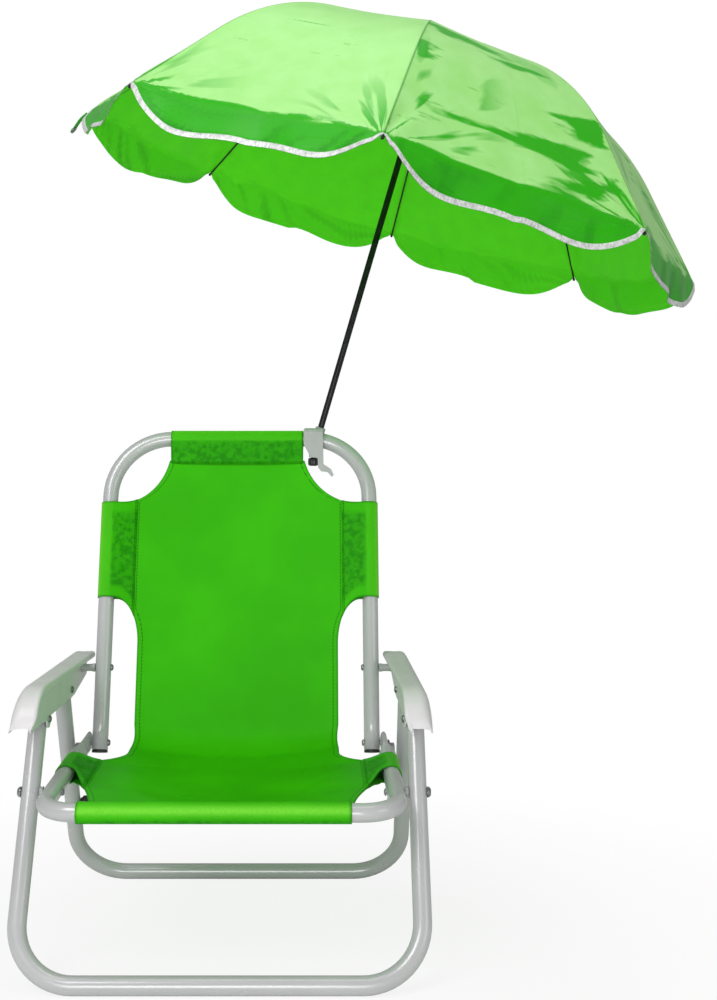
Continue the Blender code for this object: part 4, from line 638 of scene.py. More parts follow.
def softened(outline: Sequence[Place], corner: float, steps: int = 3) -> list[Place]:
    """Round the inner corners of an open profile.

    Args:
        outline: its points.
        corner: how far each corner is cut back.
        steps: how many steps each corner has.

    Returns:
        The rounder profile.
    """
    points = [Vector(point) for point in outline]
    path = [outline[0]]
    for before, spot, after in zip(points, points[1:], points[2:]):
        back, ahead = before - spot, after - spot
        start = spot + back.normalized() * min(corner, back.length / 2.2)
        end = spot + ahead.normalized() * min(corner, ahead.length / 2.2)
        for share in (step / steps for step in range(steps + 1)):
            point = start * (1 - share) ** 2 + spot * 2 * share * (1 - share) + end * share**2
            path.append((point.x, point.y))
    return [*path, outline[-1]]


def lay_grid(work: BMesh, columns: int, rows: int, locate: Callable[[int, int], Vector]) -> dict:
    """Lay a grid whose point at each column and row comes from a function.

    Args:
        work: the empty mesh that takes the grid.
        columns: how many faces lie side by side.
        rows: how many faces lie one above another.
        locate: gives the point.

    Returns:
        Each point's column and row.
    """
    bmesh.ops.create_grid(work, x_segments=columns, y_segments=rows, size=1.0)
    cells = {}
    for vert in work.verts:
        cells[vert] = (round((vert.co.x + 1) * columns / 2), round((vert.co.y + 1) * rows / 2))
        vert.co = locate(*cells[vert])
    return cells


def cloth_grid(columns: int, rows: int, names: Sequence[str], locate: Callable) -> tuple[BMesh, dict]:
    """Lay a grid of cloth.

    Args:
        columns: how many faces lie side by side.
        rows: how many faces lie one above another.
        names: the numbers that are stored on its points.
        locate: gives a point, its place on the flat cloth and its numbers.

    Returns:
        The grid, and each point's column and row.
    """
    found = {}

    def keep(column: int, row: int) -> Vector:
        """Keep what is found for a point and return the point."""
        found[column, row] = locate(column, row)
        return found[column, row][0]

    work = bmesh.new()
    uv = work.loops.layers.uv.new("cloth")
    for name in names:
        work.verts.layers.float.new(name)
    layers = [work.verts.layers.float[name] for name in names]
    cells = lay_grid(work, columns, rows, keep)
    for vert, cell in cells.items():
        for layer, number in zip(layers, found[cell][2]):
            vert[layer] = number
        for loop in vert.link_loops:
            loop[uv].uv = found[cell][1]
    return work, cells


def join(work: BMesh, other: BMesh) -> None:
    """Move another mesh into a mesh."""
    mesh = bpy.data.meshes.new("joined")
    other.to_mesh(mesh)
    other.free()
    work.from_mesh(mesh)
    bpy.data.meshes.remove(mesh)


def plate(outline: Sequence[Place], low: float, high: float) -> BMesh:
    """Extrude a side-view outline between two distances across."""
    work = bmesh.new()
    face = work.faces.new([work.verts.new(side_point(spot, low)) for spot in outline])
    made = bmesh.ops.extrude_face_region(work, geom=[face])["geom"]
    moved = [item for item in made if isinstance(item, BMVert)]
    bmesh.ops.translate(work, vec=(high - low, 0.0, 0.0), verts=moved)
    bmesh.ops.recalc_face_normals(work, faces=work.faces)
    return work


def arc(centre: Place, radius: float, start: float, end: float, steps: int) -> list[Place]:
    """Return the points of an arc."""
    return [along(centre, start + (end - start) * step / steps, radius) for step in range(steps + 1)]


def place_object(name: str, data: bpy.types.ID) -> bpy.types.Object:
    """Put new object data into the scene."""
    made = bpy.data.objects.new(name, data)
    bpy.context.scene.collection.objects.link(made)
    return made


@dataclass
class Dresser:
    """Makes finished objects and ties them to the frame."""

    made: list[str] = field(default_factory=list)

    def finish(
        self, name: str, work: BMesh, finish: Finish, body: str | None, *stands_for: str, angle: float = 35.0
    ) -> bpy.types.Object:
        """Turn a bmesh into a piece.

        Args:
            name: the piece's name.
            work: its mesh, which is freed.
            finish: its finish.
            body: the body it rides on, or None where it bends between two.
            stands_for: the CAD nodes that it replaces.
            angle: edges sharper than this many degrees stay sharp.

        Returns:
            The piece.
        """
        mesh = bpy.data.meshes.new(name)
        work.to_mesh(mesh)
        work.free()
        mesh.shade_smooth()
        mesh.set_sharp_from_angle(angle=radians(angle))
        piece = place_object(name, mesh)
        mesh.materials.append(finish.material())
        if body:
            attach(piece, body)
        if stands_for:
            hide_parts(*stands_for)
        finish.slot
        self.made.append(name)
        LOG.info("%s: %d faces, %s", name, len(mesh.polygons), finish.name.lower())
        return piece

    @staticmethod
    def wall(piece: bpy.types.Object, thickness: float, offset: float) -> None:
        """Give a surface piece a wall."""
        solidify = piece.modifiers.new("wall", "SOLIDIFY")
        solidify.thickness = thickness
        solidify.offset = offset
        solidify.use_even_offset = True

    @staticmethod
    def round_edges(piece: bpy.types.Object, width: float, segments: int = 2) -> None:
        """Round a piece's sharp edges."""
        bevel = piece.modifiers.new("edges", "BEVEL")
        bevel.width = width
        bevel.segments = segments
        bevel.limit_method = "ANGLE"
        bevel.angle_limit = radians(40)
        bevel.harden_normals = True


# The folding frame


@dataclass
class FoldingFrame:
    """The four bent tubes and the plugs in the back's feet."""

    leg_bend: float = 0.060
    back_bend: float = 0.076
    seat_bend: float = 0.038
    piece: float = 0.03
    seat_piece: float = 0.005
    top_overhang: float = 0.012
    flat_length: float = 0.046
    flat_blend: float = 0.014
    flat_thickness: float = 0.009
    flat_shift: float = 0.0015
    flat_spread: float = 1.2
    plug: tuple = (
        *((0, -0.0033), (0.0095, -0.0033), (0.0095, -0.0003)),
        *((0.0078, -0.0003), (0.0078, 0.0045), (0, 0.0045)),
    )
    plug_corner: float = 0.0007

    def build(self, dresser: Dresser) -> None:
        """Build the tubes and the plugs."""
        for node, foot, angle, reach in (
            ("front_leg", FRONT_BAR, FRONT_LEG_ANGLE, FRONT_LEG_REACH),
            ("rear_leg", REAR_BAR, REAR_LEG_ANGLE, REAR_LEG_REACH),
        ):
            top = along(foot, angle, reach + self.top_overhang)
            work = self._loop(side_point, top, foot, LEG_HALF_WIDTH, self.leg_bend)
            self._tube(dresser, node + "_tube", work, node, node)
        work = self._loop(back_point, 0.0, BACK_LENGTH, BACK_HALF_WIDTH, self.back_bend)
        self._tube(dresser, "back_tube", work, "back", "back_frame")
        work = self._loop(seat_point, SEAT_RAIL_END, 0.0, SEAT_HALF_WIDTH, self.seat_bend, self.seat_piece)
        for vert in work.verts:
            vert.co = self._flatten(vert.co)
        self._tube(dresser, "seat_tube", work, "seat", "seat_frame")
        for side, letter, _ in SIDES:
            matrix = facing(back_point(0.0, side * BACK_HALF_WIDTH), back_point(1.0) - back_point(0.0))
            node = "back_plug_" + letter
            work = turned(softened(self.plug, self.plug_corner), matrix)
            dresser.finish(node + "_cap", work, Finish.BLACK, "back", node)

    def _loop(
        self,
        point: Callable,
        far: float | Place,
        near: float | Place,
        half: float,
        bend: float,
        piece: float = 0.0,
    ) -> BMesh:
        """Bend a loop of tube that runs from its far end, across at its near end, and back.

        Args:
            point: gives a point at a place and a distance across.
            far: the place of its two ends.
            near: the place of its cross bar.
            half: half its width.
            bend: the radius of its bends.
            piece: how long a straight step is, or 0 for the usual length.

        Returns:
            The tube's outer surface.
        """
        corners = [point(far, -half), point(near, -half), point(near, half), point(far, half)]
        return bent_tube(corners, bend, piece or self.piece)

    @staticmethod
    def _tube(dresser: Dresser, name: str, work: BMesh, body: str, node: str) -> None:
        """Finish one tube with its wall."""
        dresser.wall(dresser.finish(name, work, Finish.TUBE, body, node), TUBE_WALL, -1.0)

    def _flatten(self, spot: Vector) -> Vector:
        """Return where a point of the seat tube lies on its pressed rear end."""
        offset = spot - seat_point(0.0)
        upward = seat_point(0.0, 0.0, -1.0) - seat_point(0.0)
        place = offset.dot(seat_point(1.0) - seat_point(0.0))
        reach = place - SEAT_RAIL_END + self.flat_length + self.flat_blend
        share = smooth_step(reach / self.flat_blend)
        squeezed = 1 + (self.flat_thickness / (2 * TUBE_RADIUS) - 1) * share
        across = (abs(spot.x) - SEAT_HALF_WIDTH) * squeezed - self.flat_shift * share
        pressed = spot + upward * offset.dot(upward) * (self.flat_spread - 1) * share
        pressed.x = (SEAT_HALF_WIDTH + across) * (1 if spot.x > 0 else -1)
        return pressed


# Pins, bolts and spacers


@dataclass
class Fixings:
    """Domed bolts and rivets, spacers, link straps and bumpers."""

    shank: float = 0.0025
    head: Place = (0.0040, 0.0024)
    seat_head: Place = (0.0057, 0.0040)
    slot_depth: float = 0.0008
    slot_share: float = 0.34
    head_shares: tuple = ((0.42, 1.0), (0.62, 0.94), (0.86, 0.66), (1.0, 0.22), (1.0, 0.0))
    tail_shares: tuple = ((1.0, 0.0), (1.0, 0.3), (0.8, 0.75), (0.45, 1.0), (0.0, 1.0))
    lip_share: float = 0.16
    waist_share: float = 0.88
    seat_spacer: float = 0.0060
    back_spacer: float = 0.0050
    arm_inner: float = 0.1904
    arm_outer: float = 0.2136
    rivet_reach: float = 0.0030
    link_place: float = 0.176
    tab_drop: float = 0.030
    tab_rise: float = 0.005
    tab_half: float = 0.0085
    tab_round: float = 0.0055
    tab_faces: Place = (0.1823, 0.1886)
    tab_edge: float = 0.0006
    stud: tuple = ((0, 0), (0.0022, 0), (0.0022, 0.00545), (0.0036, 0.00545), (0.0036, 0.0061), (0, 0.0067))
    strap_faces: Place = (0.1889, 0.1904)
    strap_round: float = 0.0050
    strap_edge: float = 0.0004
    boss_place: float = -0.112
    bumper_place: float = -0.1653
    bumper: tuple = (
        *((0, 0), (0.0065, 0), (0.0065, -0.0026)),
        *((0.0085, -0.0026), (0.0085, -0.0081), (0, -0.0081)),
    )
    bumper_corner: float = 0.0011

    def pin(
        self,
        dresser: Dresser,
        node: str,
        body: str,
        start: Vector,
        end: Vector,
        head: Place,
        tail: Place | None,
    ) -> None:
        """Build a domed pin between two seats.

        Args:
            dresser: makes the piece.
            node: the CAD node that it stands for.
            body: the body it rides on.
            start: the seat of its head.
            end: the seat of its tail.
            head: the head's radius and height.
            tail: the tail's radius and height, or None for a plain end.
        """
        length = (end - start).length
        slot = head[1] - self.slot_depth
        outline = [(0.0, slot), (head[0] * self.slot_share, slot)]
        outline += [(head[0] * wide, head[1] * high) for wide, high in self.head_shares]
        outline += [(self.shank, 0.0), (self.shank, -length)]
        shares, (radius, height) = (self.tail_shares, tail) if tail else (((0.0, 0.0),), head)
        outline += [(radius * wide, -length - height * low) for wide, low in shares]
        work = turned(outline, facing(start, start - end))
        dresser.finish(node + "_pin", work, Finish.STEEL, body, node, angle=LATHE_ANGLE)

    def spacer(
        self,
        dresser: Dresser,
        node: str,
        body: str,
        start: Vector,
        end: Vector,
        radius: float,
    ) -> None:
        """Build a waisted spacer ring between two seats.

        Args:
            dresser: makes the piece.
            node: the CAD node that it stands for.
            body: the body it rides on.
            start: one seat.
            end: the other seat.
            radius: the ring's radius.
        """
        length = (end - start).length
        bore, waist = self.shank + TOUCH_GAP, radius * self.waist_share
        lip, neck = length * self.lip_share, length * self.lip_share * 1.7
        outline = [(bore, 0.0), (radius, 0.0), (radius, -lip), (waist, -neck)]
        outline += [(waist, neck - length), (radius, lip - length), (radius, -length), (bore, -length)]
        work = turned(outline, facing(start, start - end), True)
        dresser.finish(node + "_ring", work, Finish.GREY, body, node, angle=LATHE_ANGLE)

    def build(self, dresser: Dresser) -> None:
        """Build the fixings of both sides."""
        inner, outer = self.arm_inner - TOUCH_GAP, self.arm_outer + TOUCH_GAP
        rail, leg, back = SEAT_HALF_WIDTH, LEG_HALF_WIDTH, BACK_HALF_WIDTH
        flat = rail + self.rivet_reach + TOUCH_GAP
        for side, letter, word in SIDES:
            arm = "armrest_" + word
            rows = (
                (self.pin, "seat_bolt_", "seat", SEAT_FRONT_PIVOT, leg + FACE_REACH, rail - FACE_REACH),
                (self.spacer, "seat_spacer_", "seat", SEAT_FRONT_PIVOT, leg - FACE_REACH, rail + FACE_REACH),
                (self.pin, "seat_rivet_", "seat", SEAT_REAR_PIVOT, flat, back - FACE_REACH),
                (self.pin, "front_arm_bolt_", arm, ARM_FRONT_PIVOT, outer, inner),
                (self.pin, "rear_arm_bolt_", arm, ARM_REAR_PIVOT, outer, inner),
                (self.pin, "back_arm_bolt_", "back", ARM_BACK_PIVOT, back - FACE_REACH, inner),
                (self.spacer, "back_spacer_", "back", ARM_BACK_PIVOT, inner, back + FACE_REACH),
            )
            sizes = {
                "seat_bolt_": (self.seat_head, self.head),
                "seat_spacer_": (self.seat_spacer,),
                "back_arm_bolt_": (self.head, None),
                "back_spacer_": (self.back_spacer,),
            }
            for make, node, body, spot, start, end in rows:
                ends = side_point(spot, side * start), side_point(spot, side * end)
                make(dresser, node + letter, body, *ends, *sizes.get(node, (self.head, self.head)))
            self._links(dresser, side, letter, word)

    def _links(self, dresser: Dresser, side: int, letter: str, word: str) -> None:
        """Build one side's tab, link strap, boss and bumper.

        Args:
            dresser: makes the pieces.
            side: -1 on the left, 1 on the right.
            letter: the side's letter in the nodes' names.
            word: the side's word in the bodies' names.
        """
        sideways = Vector((side, 0, 0))
        foot = along(SEAT_FRONT_PIVOT, SEAT_ANGLE, self.link_place)
        low = along(foot, SEAT_ANGLE - pi / 2, self.tab_drop)
        high = along(foot, SEAT_ANGLE - pi / 2, -self.tab_rise)
        outline = [along(high, SEAT_ANGLE, self.tab_half), along(high, SEAT_ANGLE, -self.tab_half)]
        outline += arc(low, self.tab_round, SEAT_ANGLE + pi, SEAT_ANGLE + 2 * pi, 18)
        tab = plate(outline, *(side * face for face in self.tab_faces))
        link_out = self.strap_faces[1] + TOUCH_GAP
        join(tab, turned(self.stud, facing(side_point(low, side * (link_out - self.stud[2][1])), sideways)))
        piece = dresser.finish("link_tab_plate_" + letter, tab, Finish.STEEL, "seat", "link_tab_" + letter)
        dresser.round_edges(piece, self.tab_edge)

        leg = along(ARM_REAR_PIVOT, REAR_LEG_ANGLE, self.boss_place)
        angle = atan2(leg[1] - low[1], leg[0] - low[0])
        outline = arc(leg, self.strap_round, angle - pi / 2, angle + pi / 2, 16)
        outline += arc(low, self.strap_round, angle + pi / 2, angle + 3 * pi / 2, 16)
        strap = plate(outline, *(side * face for face in self.strap_faces))
        name = "link_strap_plate_" + letter
        piece = dresser.finish(name, strap, Finish.STEEL, "link_" + word, "link_strap_" + letter)
        dresser.round_edges(piece, self.strap_edge)

        leg_in = LEG_HALF_WIDTH - FACE_REACH
        height = link_out - leg_in
        boss = ((0.0, 0.0), (self.strap_round, 0.0), (self.strap_round, height), (0.0, height))
        work = turned(softened(boss, self.strap_edge), facing(side_point(leg, side * leg_in), sideways))
        node = "link_leg_boss_" + letter
        dresser.finish(node + "_disc", work, Finish.STEEL, "rear_leg", node)
        spot = along(ARM_REAR_PIVOT, REAR_LEG_ANGLE, self.bumper_place)
        matrix = facing(side_point(spot, side * leg_in), sideways)
        work = turned(softened(self.bumper, self.bumper_corner), matrix)
        node = "leg_bumper_" + letter
        dresser.finish(node + "_cap", work, Finish.RUBBER, "rear_leg", node)


# Armrests


@dataclass
class Armrest:
    """One plastic armrest: a channel with a rolled inner lip and a round nose.

    The edge tables give (distance, drop) pairs: the inner one from the top's
    inner side, and the outer one from the outer face.
    """

    side: int
    letter: str
    word: str
    top: float = 0.280
    front: float = 0.038
    crest: float = 0.088
    rear: float = 0.355
    nose: float = 0.243
    wall: float = 0.0016
    rounding: float = 0.0006
    inner_face: float = 0.1904
    outer_face: float = 0.2136
    top_inner_front: float = 0.1850
    top_inner_rear: float = 0.1795
    full_depth: float = 0.020
    lip_drop: float = 0.008
    lower_edge: float = 0.239
    rear_lower_edge: float = 0.2525
    rise_start: float = 0.272
    lobe: float = 0.0095
    plain_depths: tuple = (0.20, 0.215, 0.23, 0.245, 0.26)
    inner_edge: tuple = (
        *((0.0015, 0.0074), (0.0002, 0.0052), (0.0004, 0.0028)),
        *((0.0014, 0.0009), (0.0034, 0.0)),
    )
    outer_edge: tuple = (
        *((0.0235, 0.0003), (0.0190, 0.0005), (0.0140, 0.0001), (0.0105, 0.0005), (0.0074, 0.0022)),
        *((0.0048, 0.0055), (0.0026, 0.0098), (0.0010, 0.0145), (0.0, 0.0200)),
    )

    def _lower(self, depth: float) -> float:
        """Return the height of the lower edge at a depth."""
        rise = (depth - self.rise_start) / (self.rear - self.rise_start)
        edge = self.lower_edge + max(rise, 0.0) * (self.rear_lower_edge - self.lower_edge)
        for pivot_depth, pivot_height in (ARM_FRONT_PIVOT, ARM_REAR_PIVOT):
            reach = abs(depth - pivot_depth)
            if reach < self.lobe:
                edge = min(edge, pivot_height - sqrt(self.lobe**2 - reach**2))
        return edge

    def _section(self, depth: float) -> list[Place]:
        """Return the section at a depth as (across, height) points."""
        face, outer = self.inner_face, self.outer_face
        forward = max(self.crest - depth, 0.0) / (self.crest - self.front)
        top = self.top - (1 - sqrt(max(1 - forward**2, 0.0))) * (self.top - self.nose)
        low = self._lower(depth)
        rearward = (depth - self.front) / (self.rear - self.front)
        inner = self.top_inner_front + rearward * (self.top_inner_rear - self.top_inner_front)
        full = min(1.0, (top - low) / self.full_depth)
        lip = min(top - self.lip_drop * full, top)
        points = [(face, low), (face, low + (lip - low) * 0.5), (face, lip)]
        for place, drop in self.inner_edge:
            points.append((face + (inner + place - face) * full, top - drop * full))
        points += [(outer - place, top - drop * full) for place, drop in self.outer_edge]
        return [*points, (outer, (top - self.full_depth * full + low) / 2), (outer, low)]

    def _depths(self) -> list[float]:
        """Return the depths of the sections, close together at the ends and lobes."""
        depths = [self.crest - (self.crest - self.front) * cos(pi / 2 * step / 16) for step in range(17)]
        for pivot_depth, _ in (ARM_FRONT_PIVOT, ARM_REAR_PIVOT):
            depths += [pivot_depth - self.lobe * cos(pi * step / 12) for step in range(13)]
        depths += self.plain_depths
        depths += [self.rise_start + (self.rear - self.rise_start) * step / 10 for step in range(11)]
        return sorted(set(round(depth, 5) for depth in depths))

    def build(self, dresser: Dresser) -> None:
        """Build the armrest."""
        depths = self._depths()
        sections = [self._section(depth) for depth in depths]
        columns = len(sections[0]) - 1

        def locate(column: int, row: int) -> Vector:
            """Return the point at a place round a section."""
            across, height = sections[row][column if self.side > 0 else columns - column]
            return side_point((depths[row], height), self.side * across)

        work = bmesh.new()
        lay_grid(work, columns, len(depths) - 1, locate)
        bmesh.ops.remove_doubles(work, verts=work.verts, dist=MERGE_DISTANCE)
        node = "armrest_" + self.letter
        piece = dresser.finish(node + "_shell", work, Finish.WHITE, "armrest_" + self.word, node, angle=60.0)
        dresser.wall(piece, self.wall, -1.0)
        dresser.round_edges(piece, self.rounding)


# Sling


@dataclass(frozen=True)
class Notch:
    """A round notch in the cloth's side, between a narrow and a wide half width."""

    narrow_at: float
    wide_at: float
    narrow: float
    wide: float

    def half(self, distance: float) -> float:
        """Return the half width at a distance."""
        share = clamp((distance - self.narrow_at) / (self.wide_at - self.narrow_at))
        return self.narrow + (self.wide - self.narrow) * (1 - sqrt(1 - share * share))

    def place(self, across: float) -> float:
        """Return the distance at which the notch reaches a half width."""
        share = clamp((self.wide - across) / (self.wide - self.narrow))
        return self.narrow_at + (self.wide_at - self.narrow_at) * sqrt(1 - share * share)


@dataclass
class Sling:
    """The one cloth of seat and back, with a sleeve sewn round each tube.

    A crease is (start across, start length, end across, end length, width, height).
    """

    cloth: float = 0.0011
    sleeve_gap: float = 0.0003
    columns: int = 96
    seat_rows: int = 64
    fold_rows: int = 8
    back_rows: int = 110
    waist: float = 0.123
    waist_bow: float = 0.0015
    back_stitch: float = 0.0345
    top_stitch: float = 0.0330
    seat_stitch: float = 0.0300
    lap: float = 0.004
    hem: float = 0.006
    top_left: float = 0.0878
    top_right: float = 0.0795
    front_left: float = 0.1412
    front_right: float = 0.1310
    notch_half: float = 0.1345
    slant_start: float = 0.026
    slant_end: float = 0.134
    slant_power: float = 1.35
    tube_reach: float = 0.0104
    back_sag: float = 0.010
    seat_sag: float = 0.012
    sag_fade: float = 0.110
    fold_reach: float = 0.022
    blend_reach: float = 0.024
    overrun: float = 0.0004
    layer: float = 0.0005
    straight_steps: int = 10
    wrap_steps: int = 28
    creases: tuple = (
        *((-0.105, 0.118, -0.060, 0.030, 0.010, 0.0016), (-0.120, 0.160, -0.055, 0.085, 0.012, 0.0014)),
        *((0.105, 0.120, 0.055, 0.034, 0.011, 0.0013), (0.120, 0.165, 0.050, 0.100, 0.014, 0.0012)),
        *((-0.030, 0.075, 0.004, 0.022, 0.008, 0.0012), (0.030, 0.070, 0.018, 0.018, 0.008, 0.0010)),
        *((-0.075, 0.060, -0.062, 0.018, 0.006, 0.0009), (0.078, 0.060, 0.066, 0.018, 0.006, 0.0009)),
        *((-0.118, 0.275, -0.030, 0.300, 0.010, 0.0016), (0.118, 0.270, 0.040, 0.300, 0.010, 0.0016)),
        *((-0.100, 0.335, -0.020, 0.352, 0.012, 0.0010), (0.105, 0.350, 0.030, 0.372, 0.012, 0.0010)),
        *((-0.120, 0.470, -0.060, 0.440, 0.012, 0.0012), (0.120, 0.470, 0.055, 0.445, 0.012, 0.0012)),
        *((-0.095, 0.620, -0.050, 0.560, 0.012, 0.0011), (0.090, 0.620, 0.040, 0.560, 0.012, 0.0011)),
    )

    def __post_init__(self) -> None:
        """Work out the cloth's notches and where its parts meet."""
        self.wide_back = BACK_HALF_WIDTH - self.tube_reach
        self.wide_seat = SEAT_HALF_WIDTH - self.tube_reach
        self.low_notch = Notch(0.128, 0.185, self.waist, self.wide_back)
        self.seat_notch = Notch(0.226, 0.191, self.waist, self.wide_seat)
        self.top_notches = {
            side: Notch(BACK_LENGTH - self.tube_reach, 0.305, narrow, self.wide_back)
            for side, narrow in ((-1, self.top_left), (1, self.top_right))
        }
        self.seat_end = SEAT_HINGE - self.fold_reach
        self.back_start = BACK_PIVOT_REACH + self.fold_reach

    def _crease(self, across: float, length: float) -> float:
        """Return the height of the soft folds at a distance across and along the cloth."""
        spot = Vector((across, length))
        height = 0.0
        for *ends, width, rise in self.creases:
            start, line = Vector(ends[:2]), Vector(ends[2:]) - Vector(ends[:2])
            share = clamp((spot - start).dot(line) / line.length_squared)
            away = (spot - start - line * share).length
            height += rise * (1 - share) ** 0.7 * exp(-((away / width) ** 2))
        ripple = sin(across * 95 + 1.3 * sin(length * 40)) * exp(-((length - 0.03) / 0.028) ** 2)
        slow = sin(across * 52 + length * 31) * sin(length * 64 - across * 23)
        slow *= exp(-((length - 0.10) / 0.07) ** 2)
        return height + ripple * 0.0009 + slow * 0.0008

    def _rows(self) -> list[tuple[str, float, float]]:
        """Return the rows from the front bar to the top as (part, place, length)."""
        start, end = self.seat_stitch - self.lap, BACK_LENGTH - self.top_stitch + self.lap
        rows = []
        for step in range(self.seat_rows + 1):
            reach = start + (self.seat_end - start) * step / self.seat_rows
            rows.append(("seat", reach, reach))
        fold_length = self.fold_reach * 1.75
        for share in (step / self.fold_rows for step in range(1, self.fold_rows)):
            rows.append(("fold", share, self.seat_end + fold_length * share))
        for step in range(self.back_rows + 1):
            reach = self.back_start + (end - self.back_start) * step / self.back_rows
            rows.append(("back", reach, self.seat_end + fold_length + reach - self.back_start))
        return rows

    def _reach(self, part: str, place: float, side: int) -> float:
        """Return how far the panel reaches to one side at a row."""
        if part == "fold":
            return self.waist - self.waist_bow * sin(pi * place)
        if part == "back":
            notches = self.low_notch.half(place), self.top_notches[side].half(place)
            return min(*notches, BACK_HALF_WIDTH - self.back_stitch + self.lap)
        share = clamp((place - self.slant_start) / (self.slant_end - self.slant_start))
        slant = self.notch_half + (self.wide_seat - self.notch_half) * share**self.slant_power
        return min(slant, self.seat_notch.half(place), SEAT_HALF_WIDTH - self.seat_stitch + self.lap)

    def _surface(self, part: str, place: float, across: float, reach: float, length: float) -> Vector:
        """Return a point of the panel's middle surface.

        Args:
            part: seat, fold or back.
            place: the row's place in its part.
            across: the distance from the middle line.
            reach: how far the panel reaches at the row.
            length: the distance along the cloth.

        Returns:
            The point.
        """
        bow = 1 - clamp(abs(across) / reach) ** 2
        if part == "seat":
            sag = self.seat_sag * bow * smooth_step(place / self.sag_fade)
            return seat_point(place, across, sag - self._crease(across, length))
        if part == "back":
            sag = self.back_sag * bow * smooth_step((BACK_LENGTH - place) / self.sag_fade)
            return back_point(place, across, sag - self._crease(across, length))
        start = seat_point(self.seat_end, across, self.seat_sag * bow)
        end = back_point(self.back_start, across, self.back_sag * bow)
        corner = side_point(SEAT_REAR_PIVOT, across)
        sag = Vector((0.0, self.back_sag * bow, -self.seat_sag * bow)) * 0.8
        corner += Vector((0.0, -0.002, 0.004)) + sag
        return start * (1 - place) ** 2 + corner * 2 * place * (1 - place) + end * place**2

    def _panel(self) -> BMesh:
        """Build the panel between the stitch lines."""
        rows = self._rows()

        def locate(column: int, row: int) -> tuple[Vector, Place, tuple]:
            """Return a point of the panel, its flat place and its numbers."""
            part, place, length = rows[row]
            share = 2 * column / self.columns - 1
            reach = self._reach(part, place, 1 if share > 0 else -1)
            across = share * reach
            numbers = (float(abs(share) == 1), reach - abs(across) - self.hem)
            return self._surface(part, place, across, reach, length), (across, length), numbers

        return cloth_grid(self.columns, len(rows) - 1, SLING_NUMBERS, locate)[0]

    def _sleeve(
        self, outer: Callable, stitch: float, limits: Callable, flat: Callable, steps: int, inset: float = 0.0
    ) -> BMesh:
        """Build a sleeve that wraps a tube and comes back to its stitch line.

        Args:
            outer: gives the point at (along the tube, inward from it, in front).
            stitch: distance from the tube's centre to the stitch line.
            limits: gives the sleeve's ends at a distance inward.
            flat: gives the place on the flat cloth at (along the tube, round it).
            steps: how many steps lie along the tube.
            inset: how far the rumpled strip of painted shade stays from the sleeve's ends.

        Returns:
            The sleeve's middle surface.
        """
        radius = TUBE_RADIUS + self.sleeve_gap + self.cloth / 2
        lean = acos(radius / stitch)
        touch = (radius * cos(lean), radius * sin(lean))
        shares = [step / self.straight_steps for step in range(self.straight_steps)]
        inside = touch[0] - stitch
        front = [(stitch + inside * share, self.layer + touch[1] * share, 1.0) for share in shares]
        turns = [lean + (2 * pi - 2 * lean) * step / self.wrap_steps for step in range(self.wrap_steps + 1)]
        wrap = [(radius * cos(turn), radius * sin(turn), 0.0) for turn in turns]
        behind = [(inward, -height, straight) for inward, height, straight in reversed(front)]
        section = [*front, *wrap, *behind]
        wrapped = [0.0]
        for before, after in zip(section, section[1:]):
            wrapped.append(wrapped[-1] + hypot(after[0] - before[0], after[1] - before[1]))

        def locate(column: int, row: int) -> tuple[Vector, Place, tuple]:
            """Return a point of the sleeve, its flat place and its numbers."""
            inward, height, straight = section[column]
            low, high = limits(max(inward, 0.0))
            place = low + (high - low) * row / steps
            pucker = 0.0006 * straight * sin(place * 210 + inward * 60)
            pucker *= smooth_step((stitch - inward) / 0.01)
            # Painted shade on the flat part of the sleeve beside the tube.
            band = straight * smooth_step((inward - touch[0] * 0.7) / 0.006)
            if inset:
                band *= smooth_step((place - low - inset) / 0.008)
                band *= smooth_step((high - inset - place) / 0.008)
            # Painted shade on the underside of the wrap.
            band = max(band, (1 - straight) * smooth_step((-height / radius - 0.2) / 0.5) * 0.9)
            seam = min(stitch - inward - 0.0025, 1.0) if straight else 1.0
            # Painted highlight on the wrap's upper front.
            painted_highlight = (1 - straight) * exp(-(((height / radius - 0.45) / 0.38) ** 2))
            point = outer(place, inward, height + pucker * (1 if height > 0 else -1))
            return point, flat(place, wrapped[column]), (float(row in (0, steps)), seam, band, painted_highlight)

        return cloth_grid(len(section) - 1, steps, SLING_NUMBERS, locate)[0]

    def _seat_limits(self, inward: float) -> tuple[float, float]:
        """Return the ends of a seat sleeve at a distance inward."""
        across = SEAT_HALF_WIDTH - inward
        share = clamp((across - self.notch_half) / (self.wide_seat - self.notch_half))
        start = self.slant_start + (self.slant_end - self.slant_start) * share ** (1 / self.slant_power)
        return start - self.overrun, self.seat_notch.place(across) + self.overrun

    def _back_limits(self, inward: float, side: int) -> tuple[float, float]:
        """Return the ends of one side's back sleeve at a distance inward."""
        across = BACK_HALF_WIDTH - inward
        low, high = self.low_notch.place(across), self.top_notches[side].place(across)
        return low - self.overrun, high + self.overrun

